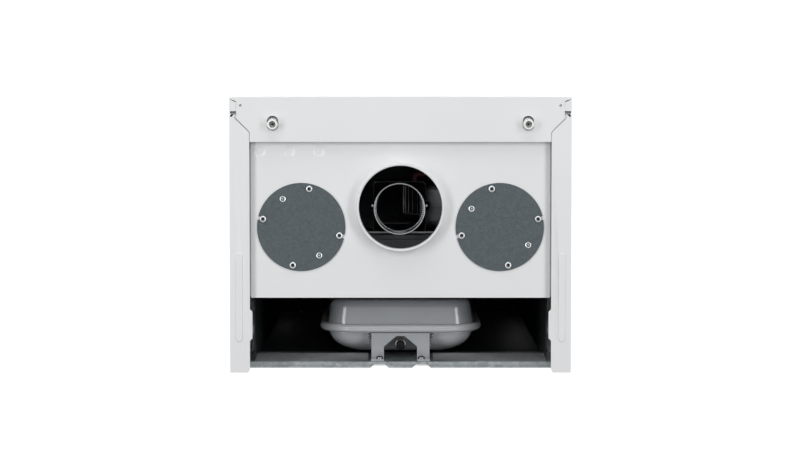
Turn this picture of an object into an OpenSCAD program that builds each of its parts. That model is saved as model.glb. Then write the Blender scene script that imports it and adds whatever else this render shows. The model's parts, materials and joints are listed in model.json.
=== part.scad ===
// Wall-hung gas boiler with a fan-assisted sealed chamber and a flue that leaves through the top.
// Millimetres. X runs to the right seen from the front, Y towards the wall, Z up.
// The origin is at the middle of the hanging rail's top edge, on the wall plane.

/* [Casing] */
// Width over the two side panels
body_w = 410; // [390:1:460]
// Depth from the wall to the front sheet
body_d = 331; // [325:1:360]
// Height of the casing
body_h = 740; // [735:1:790]
// How far the rail's top edge lies below the casing's top
rail_drop = 48; // [44:1:56]
// Thickness of the casing and chamber sheet
sheet_t = 1.2; // [0.8:0.1:1.5]
// Width of the side panel's top flange
side_flange_w = 24; // [22:1:26]
// Depth of the front casing's top flange
front_flange_d = 53.5; // [50:0.5:56]
// Depth of the front casing's side returns
front_return_d = 20; // [18:1:22]
// Gap along the seams between casing panels
seam_gap = 0.8; // [0.5:0.1:1.2]
// Height of the front casing above the control box
front_casing_h = 638; // [630:1:642]

/* [Chamber] */
// Step from the casing flange down to the chamber top
chamber_drop = 8; // [7:0.5:10]
// Height of the sealed chamber
chamber_h = 430; // [428:1:440]
// Distance from the wall to the back of the chamber
chamber_back = 89.7; // [88:0.1:92]
// Distance from the wall to the flue collar's axis
flue_back = 199; // [198:0.5:200]
// Inside diameter of the flue collar
flue_d = 100; // [98:0.5:101]
// Height of the flue collar above the chamber top
collar_h = 12; // [8:1:15]
// Outside diameter of a blanking plate
blank_d = 106.3; // [104:0.1:110]
// Sideways distance from the flue's axis to a blanking plate
blank_x = 119.4; // [118:0.1:122]
// Distance from the wall to a blanking plate's centre
blank_back = 175; // [173:0.5:178]
// Hole circle of the large blanking screws
blank_pcd = 94; // [92:0.5:96]
// Diameter of the dimples in the chamber top
dimple_d = 14; // [12:0.5:16]

/* [Fan] */
// Outside diameter of the flue spigot
spigot_d = 61.8; // [61:0.1:62.5]
// Wall of the flue spigot
spigot_t = 0.8; // [0.6:0.1:1]
// Sideways distance from the collar's axis to the spigot's axis
spigot_x = 1.2; // [0:0.1:1.5]
// Distance from the collar's axis back to the spigot's axis
spigot_off = 2.6; // [0:0.1:3]
// Radius of the fan wheel
wheel_r = 50; // [46:0.5:51]
// Length of the wheel's blades
blade_l = 36; // [34:0.5:37]
// Number of blades
blade_n = 36; // [24:1:40]
// Width of the pressed fan scroll
scroll_w = 50; // [48:0.5:52]
// Distance from the flue's axis to the wheel's axis
wheel_x = 52.5; // [51:0.5:54]
// Depth of the wheel's axis below the rail's top edge
wheel_down = 60; // [60:0.5:62]
// Radius of the fan shaft
shaft_r = 4; // [3:0.5:5]

/* [Rear] */
// Depth of the rail's top edge
rail_d = 7.5; // [7:0.1:9]
// Height of the rail's front web
rail_web_h = 112; // [90:1:116]
// Thickness of the galvanised steel
zinc_t = 1.5; // [1.2:0.1:1.6]
// Width of a hook notch at the rail's wall edge
notch_w = 22.5; // [20:0.5:25]
// Width of a hook notch at its bottom
notch_in_w = 13; // [11:0.5:15]
// Depth of a hook notch
notch_d = 4.5; // [4:0.1:5]
// Distance of a hook notch from the middle
notch_x = 25.6; // [24:0.1:28]

/* [Expansion vessel] */
// Width over the rolled seam
vessel_w = 203; // [190:1:204]
// Height over the rolled seam
vessel_h = 490; // [460:1:495]
// Depth of the vessel's top below the rail's top edge
vessel_drop = 32; // [31:1:40]
// Distance from the wall to the seam
vessel_seam = 44.5; // [44:0.5:46]
// How far each half bulges from the seam
vessel_bulge = 35; // [32:0.5:35]

/* [Water and gas] */
// Sideways distance between neighbouring pipe connections
port_pitch = 65; // [63:1:67]
// Distance from the wall to the pipe connections
port_back = 110; // [109:1:112]
// Radius of the heating connections
heat_port_r = 13.2; // [12:0.1:14]
// Radius of the tap water connections
tap_port_r = 10.5; // [9.5:0.1:11]
// Radius of the heating pipes
pipe_r = 9; // [8:0.5:10]
// Radius of the pump's motor
motor_r = 45; // [40:1:46]

/* [Control box] */
// Height of the control box
control_h = 100; // [96:1:100]
// Depth of the control box behind its fascia
control_d = 78; // [70:1:80]
// Thickness of the fascia
fascia_t = 3.5; // [3:0.5:4]
// Radius of a control knob
knob_r = 19; // [16:0.5:22]
// Height of a control knob
knob_h = 13; // [10:0.5:14]

/* [Hidden] */

$fn = 48;
eps = 0.01;
seat = 0.3;
running = 0.05;

white = [0.89, 0.89, 0.89];
zinc = [0.62, 0.64, 0.65];
dark_zinc = [0.34, 0.37, 0.4];
steel = [0.7, 0.7, 0.72];
vessel_grey = [0.55, 0.56, 0.58];
copper = [0.78, 0.45, 0.3];
brass = [0.78, 0.62, 0.34];
black = [0.1, 0.1, 0.11];

// Planes that several pieces share
side_x = body_w / 2;
front_y = -body_d;
top_z = rail_drop;
bottom_z = top_z - body_h;
return_y = front_y + front_return_d;
flange_y = front_y + front_flange_d;
side_inner_x = side_x - side_flange_w;
chamber_x = side_inner_x - 1;
chamber_top = top_z - chamber_drop;
chamber_bottom = chamber_top - chamber_h;
chamber_y0 = return_y - 1;
chamber_y1 = -chamber_back;
flue_y = -flue_back;

// Mitre of the front corners, which runs at 45 degrees from mitre_in inside the side sheet to mitre_y
mitre_in = 4.6;
edge_t = 0.6;
corner_tab_w = 8;
corner_slit = 1.1;
corner_slope = 0.45;
corner_tab_y0 = front_y + 2.5;
corner_tab_y1 = front_y + 16.8;
mitre_y = front_y + 41.6;

// Casing pins
pin_x = side_x - 52;
pin_y = front_y + 32.5;
pin_r = 6.3;
pin_bore_r = 3.9;
pin_base_r = 9;
pin_up = 10;
pin_hole_w = 13.8;
pin_hole_y0 = pin_y - 10.3;
pin_hole_y1 = pin_y + 7.7;

// Fan
wheel_z = -wheel_down;
scroll_t = 1;
scroll_y0 = flue_y - scroll_w / 2;
scroll_y1 = flue_y + scroll_w / 2;
spigot_r = spigot_d / 2;
spigot_y = flue_y + spigot_off;
tongue_r = wheel_r + 6;
outlet_half = spigot_r - spigot_t + 0.4;
scroll_r = wheel_x + spigot_x + outlet_half;
tongue_a = 60;
outlet_y0 = spigot_y - outlet_half - scroll_t;
outlet_y1 = spigot_y + outlet_half + scroll_t;
outlet_z = 4;
outlet_foot = -45;
spigot_top = chamber_top - sheet_t - 7;
blade_y0 = scroll_y0 + scroll_t + 1;
fan_motor_y = scroll_y0 - 12;
fan_motor_l = fan_motor_y - chamber_y0 - 29;
fan_motor_r = 42;
inlet_r = 37;

// Heat stack: z planes of its hood, exchanger and combustion chamber, then the slope of the hood
stack_x = chamber_x - 70;
stack_y0 = chamber_y0 + 50;
stack_y1 = chamber_y1 - 12.3;
hood_face_y = scroll_y1 + 11;
hood_top = chamber_top - 55;
stack_z = [chamber_top - 220, chamber_top - 280.3, chamber_top - 385];
hood_slope_z = [stack_z[0] + 12, stack_z[0] + 38];
tube_pitch = (stack_y1 - stack_y0 - 44) / 4;
riser_x = chamber_x - 32;
riser_y = stack_y1 - 20;
tube_y = [for (i = [0:4]) riser_y - tube_pitch * (4 - i)];
tube_z = stack_z[0] - 27;
tube_r = 8;
burner_z = stack_z[2] - 38;

// Rear
rail_x = side_x - sheet_t - seat;
vessel_top = -vessel_drop;
vessel_mid_z = vessel_top - vessel_h / 2;
vessel_y = -vessel_seam;
rim_r = 5;
vessel_corner = 58;
shell_t = 1.5;

// Water and gas
shelf_z = bottom_z + 2;
port_y = -port_back;
port_x = [-2 * port_pitch, -port_pitch, 0, port_pitch, 2 * port_pitch];
port_r = [heat_port_r, tap_port_r, heat_port_r, tap_port_r, heat_port_r];
port_low = bottom_z - 28;
pump_z = -535;
block_top = -600;
flow_top = -560;
block_low = -665;
block_y0 = -150;
block_y1 = -95;
block_x0 = 92;
block_x1 = 168;
nut_h = 6;
nut_r = 4;
port_wall = 3;
port_bore_l = 26;
plate_z0 = -650;
plate_z1 = -575;
manifold_y = stack_y0 - 13;
manifold_z = stack_z[2] - 23;
gas_box = [[-35, manifold_y - 15, -520], [35, manifold_y + 50, -440]];
gas_pipe_z = gas_box[1][2] - 40;
coil_y = gas_box[1][1] - 33;
pipe_t = 1;

diverter_y0 = -215;

// Control box
fascia_y1 = front_y + 20.5;
fascia_y0 = fascia_y1 - fascia_t;
control_top = bottom_z + control_h;
control_y1 = min(fascia_y1 + control_d, diverter_y0 - 17);
hinge_y = control_y1 - 6;
hinge_z = bottom_z + 9;
knob_z = bottom_z + control_h / 2;
knob_x = [-110, -50];
gauge_x = 60;
button_x = 130;
spindle_r = 3;
gauge_r = 20;

// Mirrored copy, so that left and right follow the same values
module right_hand(side) {
    mirror([side < 0 ? 1 : 0, 0, 0]) children();
}

// Box from its lowest to its highest corner
module block(lo, hi) {
    translate(lo) cube(hi - lo);
}

// Cylinder along Y from y0 to y1
module rod_y(x, y0, y1, z, r) {
    translate([x, y1, z]) rotate([90, 0, 0]) cylinder(r = r, h = y1 - y0);
}

// Cylinder along X from x0 to x1
module rod_x(x0, x1, y, z, r) {
    translate([x0, y, z]) rotate([0, 90, 0]) cylinder(r = r, h = x1 - x0);
}

// Plate with the outline given in X and Y, from z0 to z1
module plate(points, z0, z1) {
    translate([0, 0, z0]) linear_extrude(height = z1 - z0) polygon(points);
}

function unit(v) = v / norm(v);

// Pipe through a list of points, with a round bend of radius bend at each inner point.
// Each point is [x, y, z], and neighbouring runs meet at right angles.
module pipe(points, r, bend) {
    last = len(points) - 1;
    for (i = [0:last - 1]) {
        d = unit(points[i + 1] - points[i]);
        start = points[i] + (i > 0 ? bend : 0) * d;
        end = points[i + 1] - (i < last - 1 ? bend : 0) * d;
        run(start, end, d, r);
    }
    for (i = [1:1:last - 1]) {
        a = unit(points[i] - points[i - 1]);
        b = unit(points[i + 1] - points[i]);
        centre = points[i] - bend * a + bend * b;
        w = cross(-b, a);
        multmatrix([
            [-b[0], a[0], w[0], centre[0]],
            [-b[1], a[1], w[1], centre[1]],
            [-b[2], a[2], w[2], centre[2]],
            [0, 0, 0, 1]])
            rotate_extrude(angle = 90) translate([bend, 0]) circle(r = r, $fn = 24);
    }
}

// Straight run of a pipe between two points along direction d
module run(start, end, d, r) {
    side = abs(d[2]) > 0.5 ? [1, 0, 0] : [0, 0, 1];
    u = unit(cross(side, d));
    v = cross(d, u);
    multmatrix([
        [u[0], v[0], d[0], start[0]],
        [u[1], v[1], d[1], start[1]],
        [u[2], v[2], d[2], start[2]],
        [0, 0, 0, 1]])
        cylinder(r = r, h = norm(end - start), $fn = 24);
}

// Hollow pipe: a run of the outer radius with the bore taken out
module tube(points, r, wall, bend) {
    difference() {
        pipe(points, r, bend);
        pipe(points, r - wall, bend);
    }
}

// Rear rail that hangs on the wall hooks
module hanging_rail() {
    color(zinc) difference() {
        union() {
            block([-side_inner_x - 8, -rail_d, -zinc_t], [side_inner_x + 8, 0, 0]);
            block([-rail_x, -rail_d, -rail_web_h], [rail_x, -rail_d + zinc_t, -zinc_t]);
            block([-side_inner_x - 8, -zinc_t, -14], [side_inner_x + 8, 0, 0]);
        }
        for (s = [-1, 1]) {
            translate([s * notch_x, 0, 0]) plate([[-notch_in_w / 2, -notch_d], [notch_in_w / 2, -notch_d],
                [notch_w / 2, 0], [notch_w / 2, 1], [-notch_w / 2, 1], [-notch_w / 2, 0]], -15, 1);
            rod_y(s * bracket_screw_x, -rail_d - 1, -rail_d + zinc_t + 1, bracket_screw_z, bracket_screw_r);
        }
    }
}

// Welded frame: two side walls, the back sheet and the shelf that holds the pipe connections
frame_y = -rail_d + zinc_t;
upright_x = chamber_x - zinc_t;
lower_hole_x = 150;
lower_hole_r = 4.5;
lower_hole_z = bottom_z + 27;
frame_top = -zinc_t - 16;
module back_frame() {
    color(zinc) difference() {
        union() {
            for (s = [-1, 1]) right_hand(s) {
                block([upright_x, frame_y, shelf_z], [side_inner_x + 8, frame_y + zinc_t, frame_top]);
                block([upright_x, chamber_y1, shelf_z], [chamber_x, -rail_d - seat, frame_top]);
                block([upright_x, -rail_d - 1, shelf_z], [chamber_x, frame_y + eps, -rail_web_h - seat]);
            }
            block([-upright_x - eps, frame_y, shelf_z], [upright_x + eps, frame_y + zinc_t, -rail_web_h + 20]);
            block([-upright_x - eps, port_y - 22, shelf_z], [upright_x + eps, frame_y + zinc_t, shelf_z + zinc_t]);
        }
        for (i = [0:4])
            translate([port_x[i], port_y, shelf_z - 1]) cylinder(r = port_r[i] + seat, h = 4);
        for (s = [-1, 1])
            rod_y(s * lower_hole_x, frame_y - 1, frame_y + zinc_t + 1, lower_hole_z, lower_hole_r);
        translate([0, 0, shelf_z]) for (s = [-1, 1])
            block([s * upright_x - 20, port_y - 30, -1], [s * upright_x + 20, port_y - 12, 3]);
    }
}

// Side panel with its top and rear flanges, seen from the right
bead_x = side_x - 11;
bead_w = 8;
bead_y0 = -140;
bead_y1 = -41.6;
flange_corner = [2.2, 4.2];
tab_proud = 3;
tab_y0 = -76.4;
tab_y1 = -38.4;
module side_panel() {
    color(white) {
        block([side_x - sheet_t, return_y + seam_gap, bottom_z], [side_x, 0, top_z]);
        slope = side_x - edge_t - side_inner_x;
        plate([
            [side_x, return_y + seam_gap],
            [side_x - edge_t, return_y + seam_gap],
            [side_x - edge_t, mitre_y + seam_gap - slope + mitre_in],
            [side_x - mitre_in, mitre_y + seam_gap - slope + mitre_in],
            [side_inner_x, mitre_y + seam_gap],
            [side_inner_x, tab_y0],
            [side_inner_x - tab_proud, tab_y0 + tab_proud],
            [side_inner_x - tab_proud, tab_y1 - tab_proud],
            [side_inner_x, tab_y1],
            [side_inner_x, -flange_corner[1]],
            [side_inner_x + flange_corner[0], 0],
            [side_x, 0]], top_z - sheet_t, top_z);
        block([side_x - 15, -sheet_t, bottom_z], [side_x, 0, top_z - 7]);
        block([side_x - 15, -200, bottom_z], [side_x, 0, bottom_z + sheet_t]);
        difference() {
            block([side_x - 15, hinge_y - 8, bottom_z], [side_x, hinge_y + 8, hinge_z + 8]);
            rod_x(side_x - 16, side_x - sheet_t - 1, hinge_y, hinge_z, spindle_r + running);
        }
        for (y = [bead_y0, bead_y1])
            translate([bead_x, y, top_z - sheet_t]) cylinder(r = bead_w / 2, h = sheet_t + 1);
        block([bead_x - bead_w / 2, bead_y0, top_z - sheet_t], [bead_x + bead_w / 2, bead_y1, top_z + 1]);
    }
}
module left_side_panel() right_hand(-1) side_panel();
module right_side_panel() side_panel();

// Front casing: a shallow pan whose top flange hangs over the two pins
front_low = top_z - front_casing_h;
hem_d = 12;
module front_casing() {
    tab_x = side_x - corner_tab_w;
    edge_x = tab_x - 0.4;
    inner_x = side_inner_x - 0.5;
    slope_y = mitre_y - (edge_x - inner_x);
    color(white) {
        block([-side_x, front_y, front_low], [side_x, front_y + sheet_t, top_z]);
        for (s = [-1, 1]) right_hand(s) {
            block([side_x - sheet_t, front_y, front_low], [side_x, return_y, top_z]);
            plate([[side_x, corner_tab_y0], [side_x, corner_tab_y1], [tab_x, corner_tab_y1],
                [tab_x, corner_tab_y0 + corner_tab_w * corner_slope]], top_z - sheet_t, top_z);
        }
        block([-side_x, front_y, front_low], [side_x, front_y + hem_d, front_low + sheet_t]);
        difference() {
            for (s = [-1, 1]) right_hand(s)
                plate([
                    [-eps, front_y], [side_x, front_y], [side_x, corner_tab_y0 - corner_slit],
                    [edge_x, corner_tab_y0 - corner_slit + (side_x - edge_x) * corner_slope],
                    [edge_x, slope_y], [inner_x, mitre_y],
                    [inner_x, flange_y], [-eps, flange_y]], top_z - sheet_t, top_z);
            for (s = [-1, 1]) {
                for (y = [pin_hole_y0 + pin_hole_w / 2, pin_hole_y1 - pin_hole_w / 2])
                    translate([s * pin_x, y, top_z - 3]) cylinder(r = pin_hole_w / 2, h = 5);
                block([s * pin_x - pin_hole_w / 2, pin_hole_y0 + pin_hole_w / 2, top_z - 3],
                    [s * pin_x + pin_hole_w / 2, pin_hole_y1 - pin_hole_w / 2, top_z + 2]);
                translate([s * (side_x - 13.4), front_y + 10, top_z - 3]) cylinder(r = 1.5, h = 5);
            }
        }
    }
}

// Nylon bushes on the chamber top that locate the front casing
module casing_pins() {
    color("white") for (s = [-1, 1]) translate([s * pin_x, pin_y, 0]) difference() {
        union() {
            translate([0, 0, chamber_top]) cylinder(r = pin_base_r, h = top_z - sheet_t - seat - chamber_top);
            translate([0, 0, chamber_top]) cylinder(r = pin_r, h = top_z + pin_up - 0.8 - chamber_top);
            translate([0, 0, top_z + pin_up - 0.8]) cylinder(r1 = pin_r, r2 = pin_r - 0.8, h = 0.8);
        }
        translate([0, 0, top_z - 1]) cylinder(r = pin_bore_r, h = pin_up + 2);
        translate([0, 0, chamber_top - 1]) cylinder(r = pin_screw_r, h = 20);
    }
}

// Screws that hold the pins, the chamber cover and the vessel's bracket
pin_screw_r = 2;
cover_screw_r = 2;
bracket_screw_r = 2.5;
bracket_screw_x = 25.7;
bracket_screw_z = -14.5;
cover_y0 = chamber_y0 - sheet_t;
cover_screws = concat(
    [for (s = [-1, 1], z = [0:3]) [s * (chamber_x - 9), chamber_bottom + 25 + z * (chamber_h - 50) / 3]],
    [for (s = [-1, 1]) [s * 60, chamber_top - 8]]);
module housing_screws() {
    color(steel) {
        for (s = [-1, 1]) translate([s * pin_x, pin_y, 0]) {
            translate([0, 0, chamber_top - 8]) cylinder(r = pin_screw_r, h = top_z - 1 - chamber_top + 8.1);
            difference() {
                translate([0, 0, top_z - 1]) cylinder(r = pin_bore_r - 0.3, h = 2.6);
                block([-2.6, -0.5, top_z + 0.6], [2.6, 0.5, top_z + 2]);
                block([-0.5, -2.6, top_z + 0.6], [0.5, 2.6, top_z + 2]);
            }
        }
        for (p = cover_screws) {
            rod_y(p[0], cover_y0 - 0.1, chamber_y0 + sheet_t + 6, p[1], cover_screw_r - 0.1);
            rod_y(p[0], cover_y0 - 2.4, cover_y0, p[1], 4);
        }
        for (s = [-1, 1]) {
            rod_y(s * bracket_screw_x, bracket_y0 - 0.1, -rail_d + zinc_t + 0.8, bracket_screw_z, bracket_screw_r - 0.1);
            rod_y(s * bracket_screw_x, bracket_y0 - 3, bracket_y0, bracket_screw_z, 4.3);
        }
    }
}

// Sealed chamber, open at the front
dimple_x = [chamber_x - 82, chamber_x - 46.5, chamber_x - 11.1];
dimple_y = front_y + 65.2;
collar_r = flue_d / 2 + 3;
blank_hole_r = 37;
lip = 16;
weld_gap = 0.1;
module chamber_box() {
    low = chamber_bottom + sheet_t + weld_gap;
    high = chamber_top - sheet_t - weld_gap;
    side = chamber_x - sheet_t;
    color(white) difference() {
        union() {
            block([-chamber_x, chamber_y0, chamber_top - sheet_t], [chamber_x, chamber_y1, chamber_top]);
            block([-chamber_x, chamber_y0, chamber_top - lip], [chamber_x, chamber_y0 + sheet_t, chamber_top]);
            block([-chamber_x, chamber_y0, chamber_bottom], [chamber_x, chamber_y1, chamber_bottom + sheet_t]);
            block([-chamber_x, chamber_y0, chamber_bottom], [chamber_x, chamber_y0 + sheet_t, chamber_bottom + lip]);
            for (s = [-1, 1]) right_hand(s) {
                block([side, chamber_y0 + sheet_t + weld_gap, low], [chamber_x, chamber_y1, high]);
                block([side, chamber_y0, chamber_bottom + lip + weld_gap],
                    [chamber_x, chamber_y0 + sheet_t + 1, chamber_top - lip - weld_gap]);
                block([chamber_x - lip, chamber_y0, chamber_bottom + lip + weld_gap],
                    [chamber_x, chamber_y0 + sheet_t, chamber_top - lip - weld_gap]);
            }
            block([-side + weld_gap, chamber_y1 - sheet_t, low], [side - weld_gap, chamber_y1, high]);
            for (x = dimple_x) translate([x, dimple_y, chamber_top - 2 * sheet_t])
                cylinder(r1 = dimple_d / 2 - 2, r2 = dimple_d / 2 + 0.6, h = sheet_t + eps);
        }
        for (x = dimple_x) translate([x, dimple_y, chamber_top - sheet_t])
            cylinder(r1 = dimple_d / 2 - 3, r2 = dimple_d / 2, h = sheet_t + eps);
        translate([0, flue_y, chamber_top - 3]) cylinder(r = collar_r + 0.1, h = 5);
        for (s = [-1, 1]) {
            translate([s * blank_x, -blank_back, chamber_top - 3]) cylinder(r = blank_hole_r, h = 5);
            translate([s * pin_x, pin_y, chamber_top - 3]) cylinder(r = pin_screw_r + 0.1, h = 5);
            translate([s * riser_x, riser_y, chamber_bottom - 1]) cylinder(r = pipe_r + seat, h = 4);
            for (a = blank_angles) blank_hole(s, a, blank_pcd / 2, blank_screw_r + 0.1);
            for (a = rivet_angles(s)) blank_hole(s, a, rivet_pcd / 2, rivet_r + 0.1);
        }
        translate([0, manifold_y, chamber_bottom - 1]) cylinder(r = pipe_r + seat, h = 4);
        for (p = cover_screws) rod_y(p[0], chamber_y0 - 1, chamber_y0 + 3, p[1], cover_screw_r);
    }
}

// Cover that closes the chamber's front
module chamber_cover() {
    color(white) difference() {
        union() {
            block([-chamber_x + 1, cover_y0, chamber_bottom + 1], [chamber_x - 1, chamber_y0, chamber_top - 1]);
            difference() {
                block([-chamber_x + 30, cover_y0 - 4, chamber_bottom + 30],
                    [chamber_x - 30, cover_y0, chamber_top - 30]);
                block([-chamber_x + 31, cover_y0 - 3, chamber_bottom + 31],
                    [chamber_x - 31, cover_y0 + 1, chamber_top - 31]);
            }
        }
        block([-chamber_x + 31, cover_y0 - 3, chamber_bottom + 31],
            [chamber_x - 31, chamber_y0 + 1, chamber_top - 31]);
        for (p = cover_screws) rod_y(p[0], cover_y0 - 1, chamber_y0 + 1, p[1], cover_screw_r);
        rod_y(0, cover_y0 - 5, cover_y0, -320, 12);
    }
}

// Raised collar round the flue hole
module flue_collar() {
    color(white) translate([0, flue_y, 0]) rotate_extrude() {
        r = flue_d / 2;
        polygon([[r, chamber_top - 4], [collar_r, chamber_top - 4], [collar_r, chamber_top],
            [collar_r + 4, chamber_top], [collar_r + 1.6, chamber_top + 2], [collar_r, chamber_top + 5],
            [collar_r, chamber_top + collar_h - 1.5], [r, chamber_top + collar_h - 1.5]]);
        translate([r + 1.5, chamber_top + collar_h - 1.5]) circle(r = 1.5);
    }
}

// Blanking plates over the two spare openings. The large screws of the left plate mirror those
// of the right one, and its flat screws sit a quarter turn further on.
blank_t = 1.2;
blank_angles = [-102, -12, 167.5, 77.5];
function rivet_angles(s) = s < 0 ? [-147, 32.3] : [-56.8, 122.3];
rivet_pcd = 81;
blank_screw_r = 2.1;
rivet_r = 1.8;
notch_half = 4.5;
module blank_hole(s, a, r, hole_r) {
    x = s * blank_x + (s < 0 ? -1 : 1) * r * cos(a);
    translate([x, -blank_back + r * sin(a), chamber_top - 4]) cylinder(r = hole_r, h = 9);
}
module blanking_plates() {
    color(dark_zinc) for (s = [-1, 1]) difference() {
        translate([s * blank_x, -blank_back, chamber_top]) cylinder(r = blank_d / 2, h = blank_t);
        for (a = blank_angles) blank_hole(s, a, blank_pcd / 2, blank_screw_r + 0.1);
        for (a = rivet_angles(s)) blank_hole(s, a, rivet_pcd / 2, rivet_r + 0.1);
        for (a = [blank_angles[1], blank_angles[2]])
            translate([s * blank_x, -blank_back, chamber_top - 1]) mirror([s < 0 ? 1 : 0, 0, 0]) rotate([0, 0, a])
                block([blank_pcd / 2, -notch_half + 2.2, 0], [blank_d / 2 + 1, notch_half - 2.2, 3]);
    }
}

// Domed screws and flat-headed screws of the blanking plates
module blanking_screws() {
    color(steel) for (s = [-1, 1]) {
        for (a = blank_angles) blank_place(s, a, blank_pcd / 2) {
            translate([0, 0, -6]) cylinder(r = blank_screw_r, h = 6.1 + blank_t);
            difference() {
                translate([0, 0, blank_t]) intersection() {
                    cylinder(r = 4.3, h = 2.6);
                    translate([0, 0, -2.4]) sphere(r = 5);
                }
                translate([0, 0, blank_t + 1.2]) cylinder(r = 1.9, h = 3);
            }
        }
        for (a = rivet_angles(s)) blank_place(s, a, rivet_pcd / 2) {
            translate([0, 0, -5]) cylinder(r = rivet_r, h = 5.1 + blank_t);
            translate([0, 0, blank_t]) cylinder(r1 = 3.6, r2 = 3, h = 0.8);
        }
    }
}
module blank_place(s, a, r) {
    x = s * blank_x + s * r * cos(a);
    translate([x, -blank_back + r * sin(a), chamber_top]) children();
}

// Spiral of the fan scroll, grown by g: the radius rises evenly from the tongue round to the outlet
spiral_n = 36;
function spiral_r(a) = tongue_r + (scroll_r - tongue_r) * (a - tongue_a) / (360 - tongue_a);
function spiral(g) = concat(
    [for (i = [0:spiral_n]) let (a = tongue_a + (360 - tongue_a) * i / spiral_n, r = spiral_r(a) + g)
        [-wheel_x + r * cos(a), wheel_z + r * sin(a)]],
    [[spigot_x + outlet_half + g, outlet_foot + 1], [spigot_x - outlet_half - g, outlet_foot + 1]]);
module scroll_prism(g, y0, y1) {
    translate([0, y1, 0]) rotate([90, 0, 0]) linear_extrude(height = y1 - y0) polygon(spiral(g));
}
module scroll_half(y0, y1, seam0, seam1) {
    out_x0 = spigot_x - outlet_half;
    out_x1 = spigot_x + outlet_half;
    color(zinc) difference() {
        union() {
            scroll_prism(scroll_t, y0, y1);
            scroll_prism(scroll_t + 4, seam0, seam1);
            block([out_x0 - scroll_t, min(y0, seam0, outlet_part(y0)[0]), outlet_foot],
                [out_x1 + scroll_t, max(y1, outlet_part(y0)[1]), outlet_z]);
        }
        scroll_prism(0, y0 + (seam0 < y1 - 2 ? -1 : scroll_t), y1 + (seam0 < y1 - 2 ? -scroll_t : 1));
        block([out_x0, outlet_part(y0)[0] + (y0 < flue_y - 2 ? scroll_t : -1), outlet_foot + scroll_t],
            [out_x1, outlet_part(y0)[1] + (y0 < flue_y - 2 ? 1 : -scroll_t), outlet_z + 1]);
        rod_y(-wheel_x, y0 - 1, y0 + 3, wheel_z, y0 < flue_y - 2 ? 16 : 1);
        rod_y(-wheel_x, y1 - 3, y1 + 1, wheel_z, y0 < flue_y - 2 ? 1 : inlet_r);
    }
}
// Front and back of the outlet box, for the half that starts at y0
function outlet_part(y0) = y0 < flue_y - 2 ? [outlet_y0, flue_y] : [flue_y, outlet_y1];
module fan_scroll_front() {
    scroll_half(scroll_y0, flue_y, flue_y - 1, flue_y);
}
module fan_scroll_rear() {
    scroll_half(flue_y, scroll_y1, flue_y, flue_y + 1);
    color(zinc) difference() {
        rod_y(-wheel_x, scroll_y1 - eps, hood_face_y, wheel_z, inlet_r + 1);
        rod_y(-wheel_x, scroll_y1 - 1, hood_face_y + 1, wheel_z, inlet_r);
    }
}

// Round spigot on the fan outlet that takes the inner flue pipe, with an ear for a screw at either side
ear_l = 5;
ear_w = 12;
module flue_spigot() {
    color(steel) difference() {
        union() {
            translate([spigot_x, spigot_y, outlet_z]) cylinder(r = spigot_r, h = spigot_top - outlet_z);
            translate([spigot_x, 0, 0]) {
                block([-outlet_half - scroll_t, outlet_y0, outlet_z], [outlet_half + scroll_t, outlet_y1, outlet_z + 1.2]);
                block([-spigot_r - ear_l, flue_y - ear_w / 2, outlet_z], [spigot_r + ear_l, flue_y + ear_w / 2, outlet_z + 1.2]);
            }
        }
        translate([spigot_x, spigot_y, outlet_z - 1]) cylinder(r = spigot_r - spigot_t, h = spigot_top);
    }
}

// Fan wheel with its hub and shaft
module fan_wheel() {
    color(zinc) translate([-wheel_x, blade_y0 + blade_l, wheel_z]) rotate([90, 0, 0]) {
        for (i = [0:blade_n - 1]) rotate([0, 0, 360 * i / blade_n]) translate([wheel_r - 5, 0, 0])
            rotate([0, 0, 28]) translate([-4, -0.4, 0]) cube([8, 0.8, blade_l]);
        for (z = [0, blade_l - 1.5]) translate([0, 0, z]) difference() {
            cylinder(r = wheel_r, h = 1.5);
            translate([0, 0, -1]) cylinder(r = wheel_r - 9, h = 4);
        }
        translate([0, 0, blade_l - 1.2]) cylinder(r = wheel_r - 8, h = 1.2);
        translate([0, 0, blade_l - 14]) cylinder(r = 10, h = 14);
        translate([0, 0, blade_l - 16]) cylinder(r = shaft_r, h = 16 + 28);
    }
}

// Fan motor on three pillars in front of the scroll
module fan_motor() {
    color(black) difference() {
        union() {
            rod_y(-wheel_x, fan_motor_y - fan_motor_l, fan_motor_y, wheel_z, fan_motor_r);
            for (a = [105, 180, 255])
                rod_y(-wheel_x + 34 * cos(a), fan_motor_y - 1, scroll_y0, wheel_z + 34 * sin(a), 4);
        }
        rod_y(-wheel_x, fan_motor_y - 30, fan_motor_y + 1, wheel_z, shaft_r + running);
    }
}

// Hood over the heat exchanger, with the plenum that feeds the fan
module flue_hood() {
    outer = [[stack_y0, stack_z[0]], [stack_y0, hood_slope_z[0]], [hood_face_y + 0.2, hood_slope_z[1]],
        [hood_face_y + 0.2, hood_top], [stack_y1, hood_top], [stack_y1, stack_z[0]]];
    inner = [[stack_y0 + 1, stack_z[0] - 1], [stack_y0 + 1, hood_slope_z[0] - 0.7],
        [hood_face_y + 1.2, hood_slope_z[1] - 0.7], [hood_face_y + 1.2, hood_top - 1],
        [stack_y1 - 1, hood_top - 1], [stack_y1 - 1, stack_z[0] - 1]];
    color(zinc) difference() {
        union() {
            prism_x(outer, -stack_x, stack_x);
            block([-stack_x - 6, hood_face_y + 0.2, hood_top - 1.2], [stack_x + 6, hood_face_y + 6, hood_top + 1.5]);
            block([-stack_x - 8, stack_y0, stack_z[0]], [stack_x + 8, stack_y1, stack_z[0] + 1]);
        }
        prism_x(inner, -stack_x + 1, stack_x - 1);
        rod_y(-wheel_x, hood_face_y - 1, hood_face_y + 2, wheel_z, inlet_r);
    }
}
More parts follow.
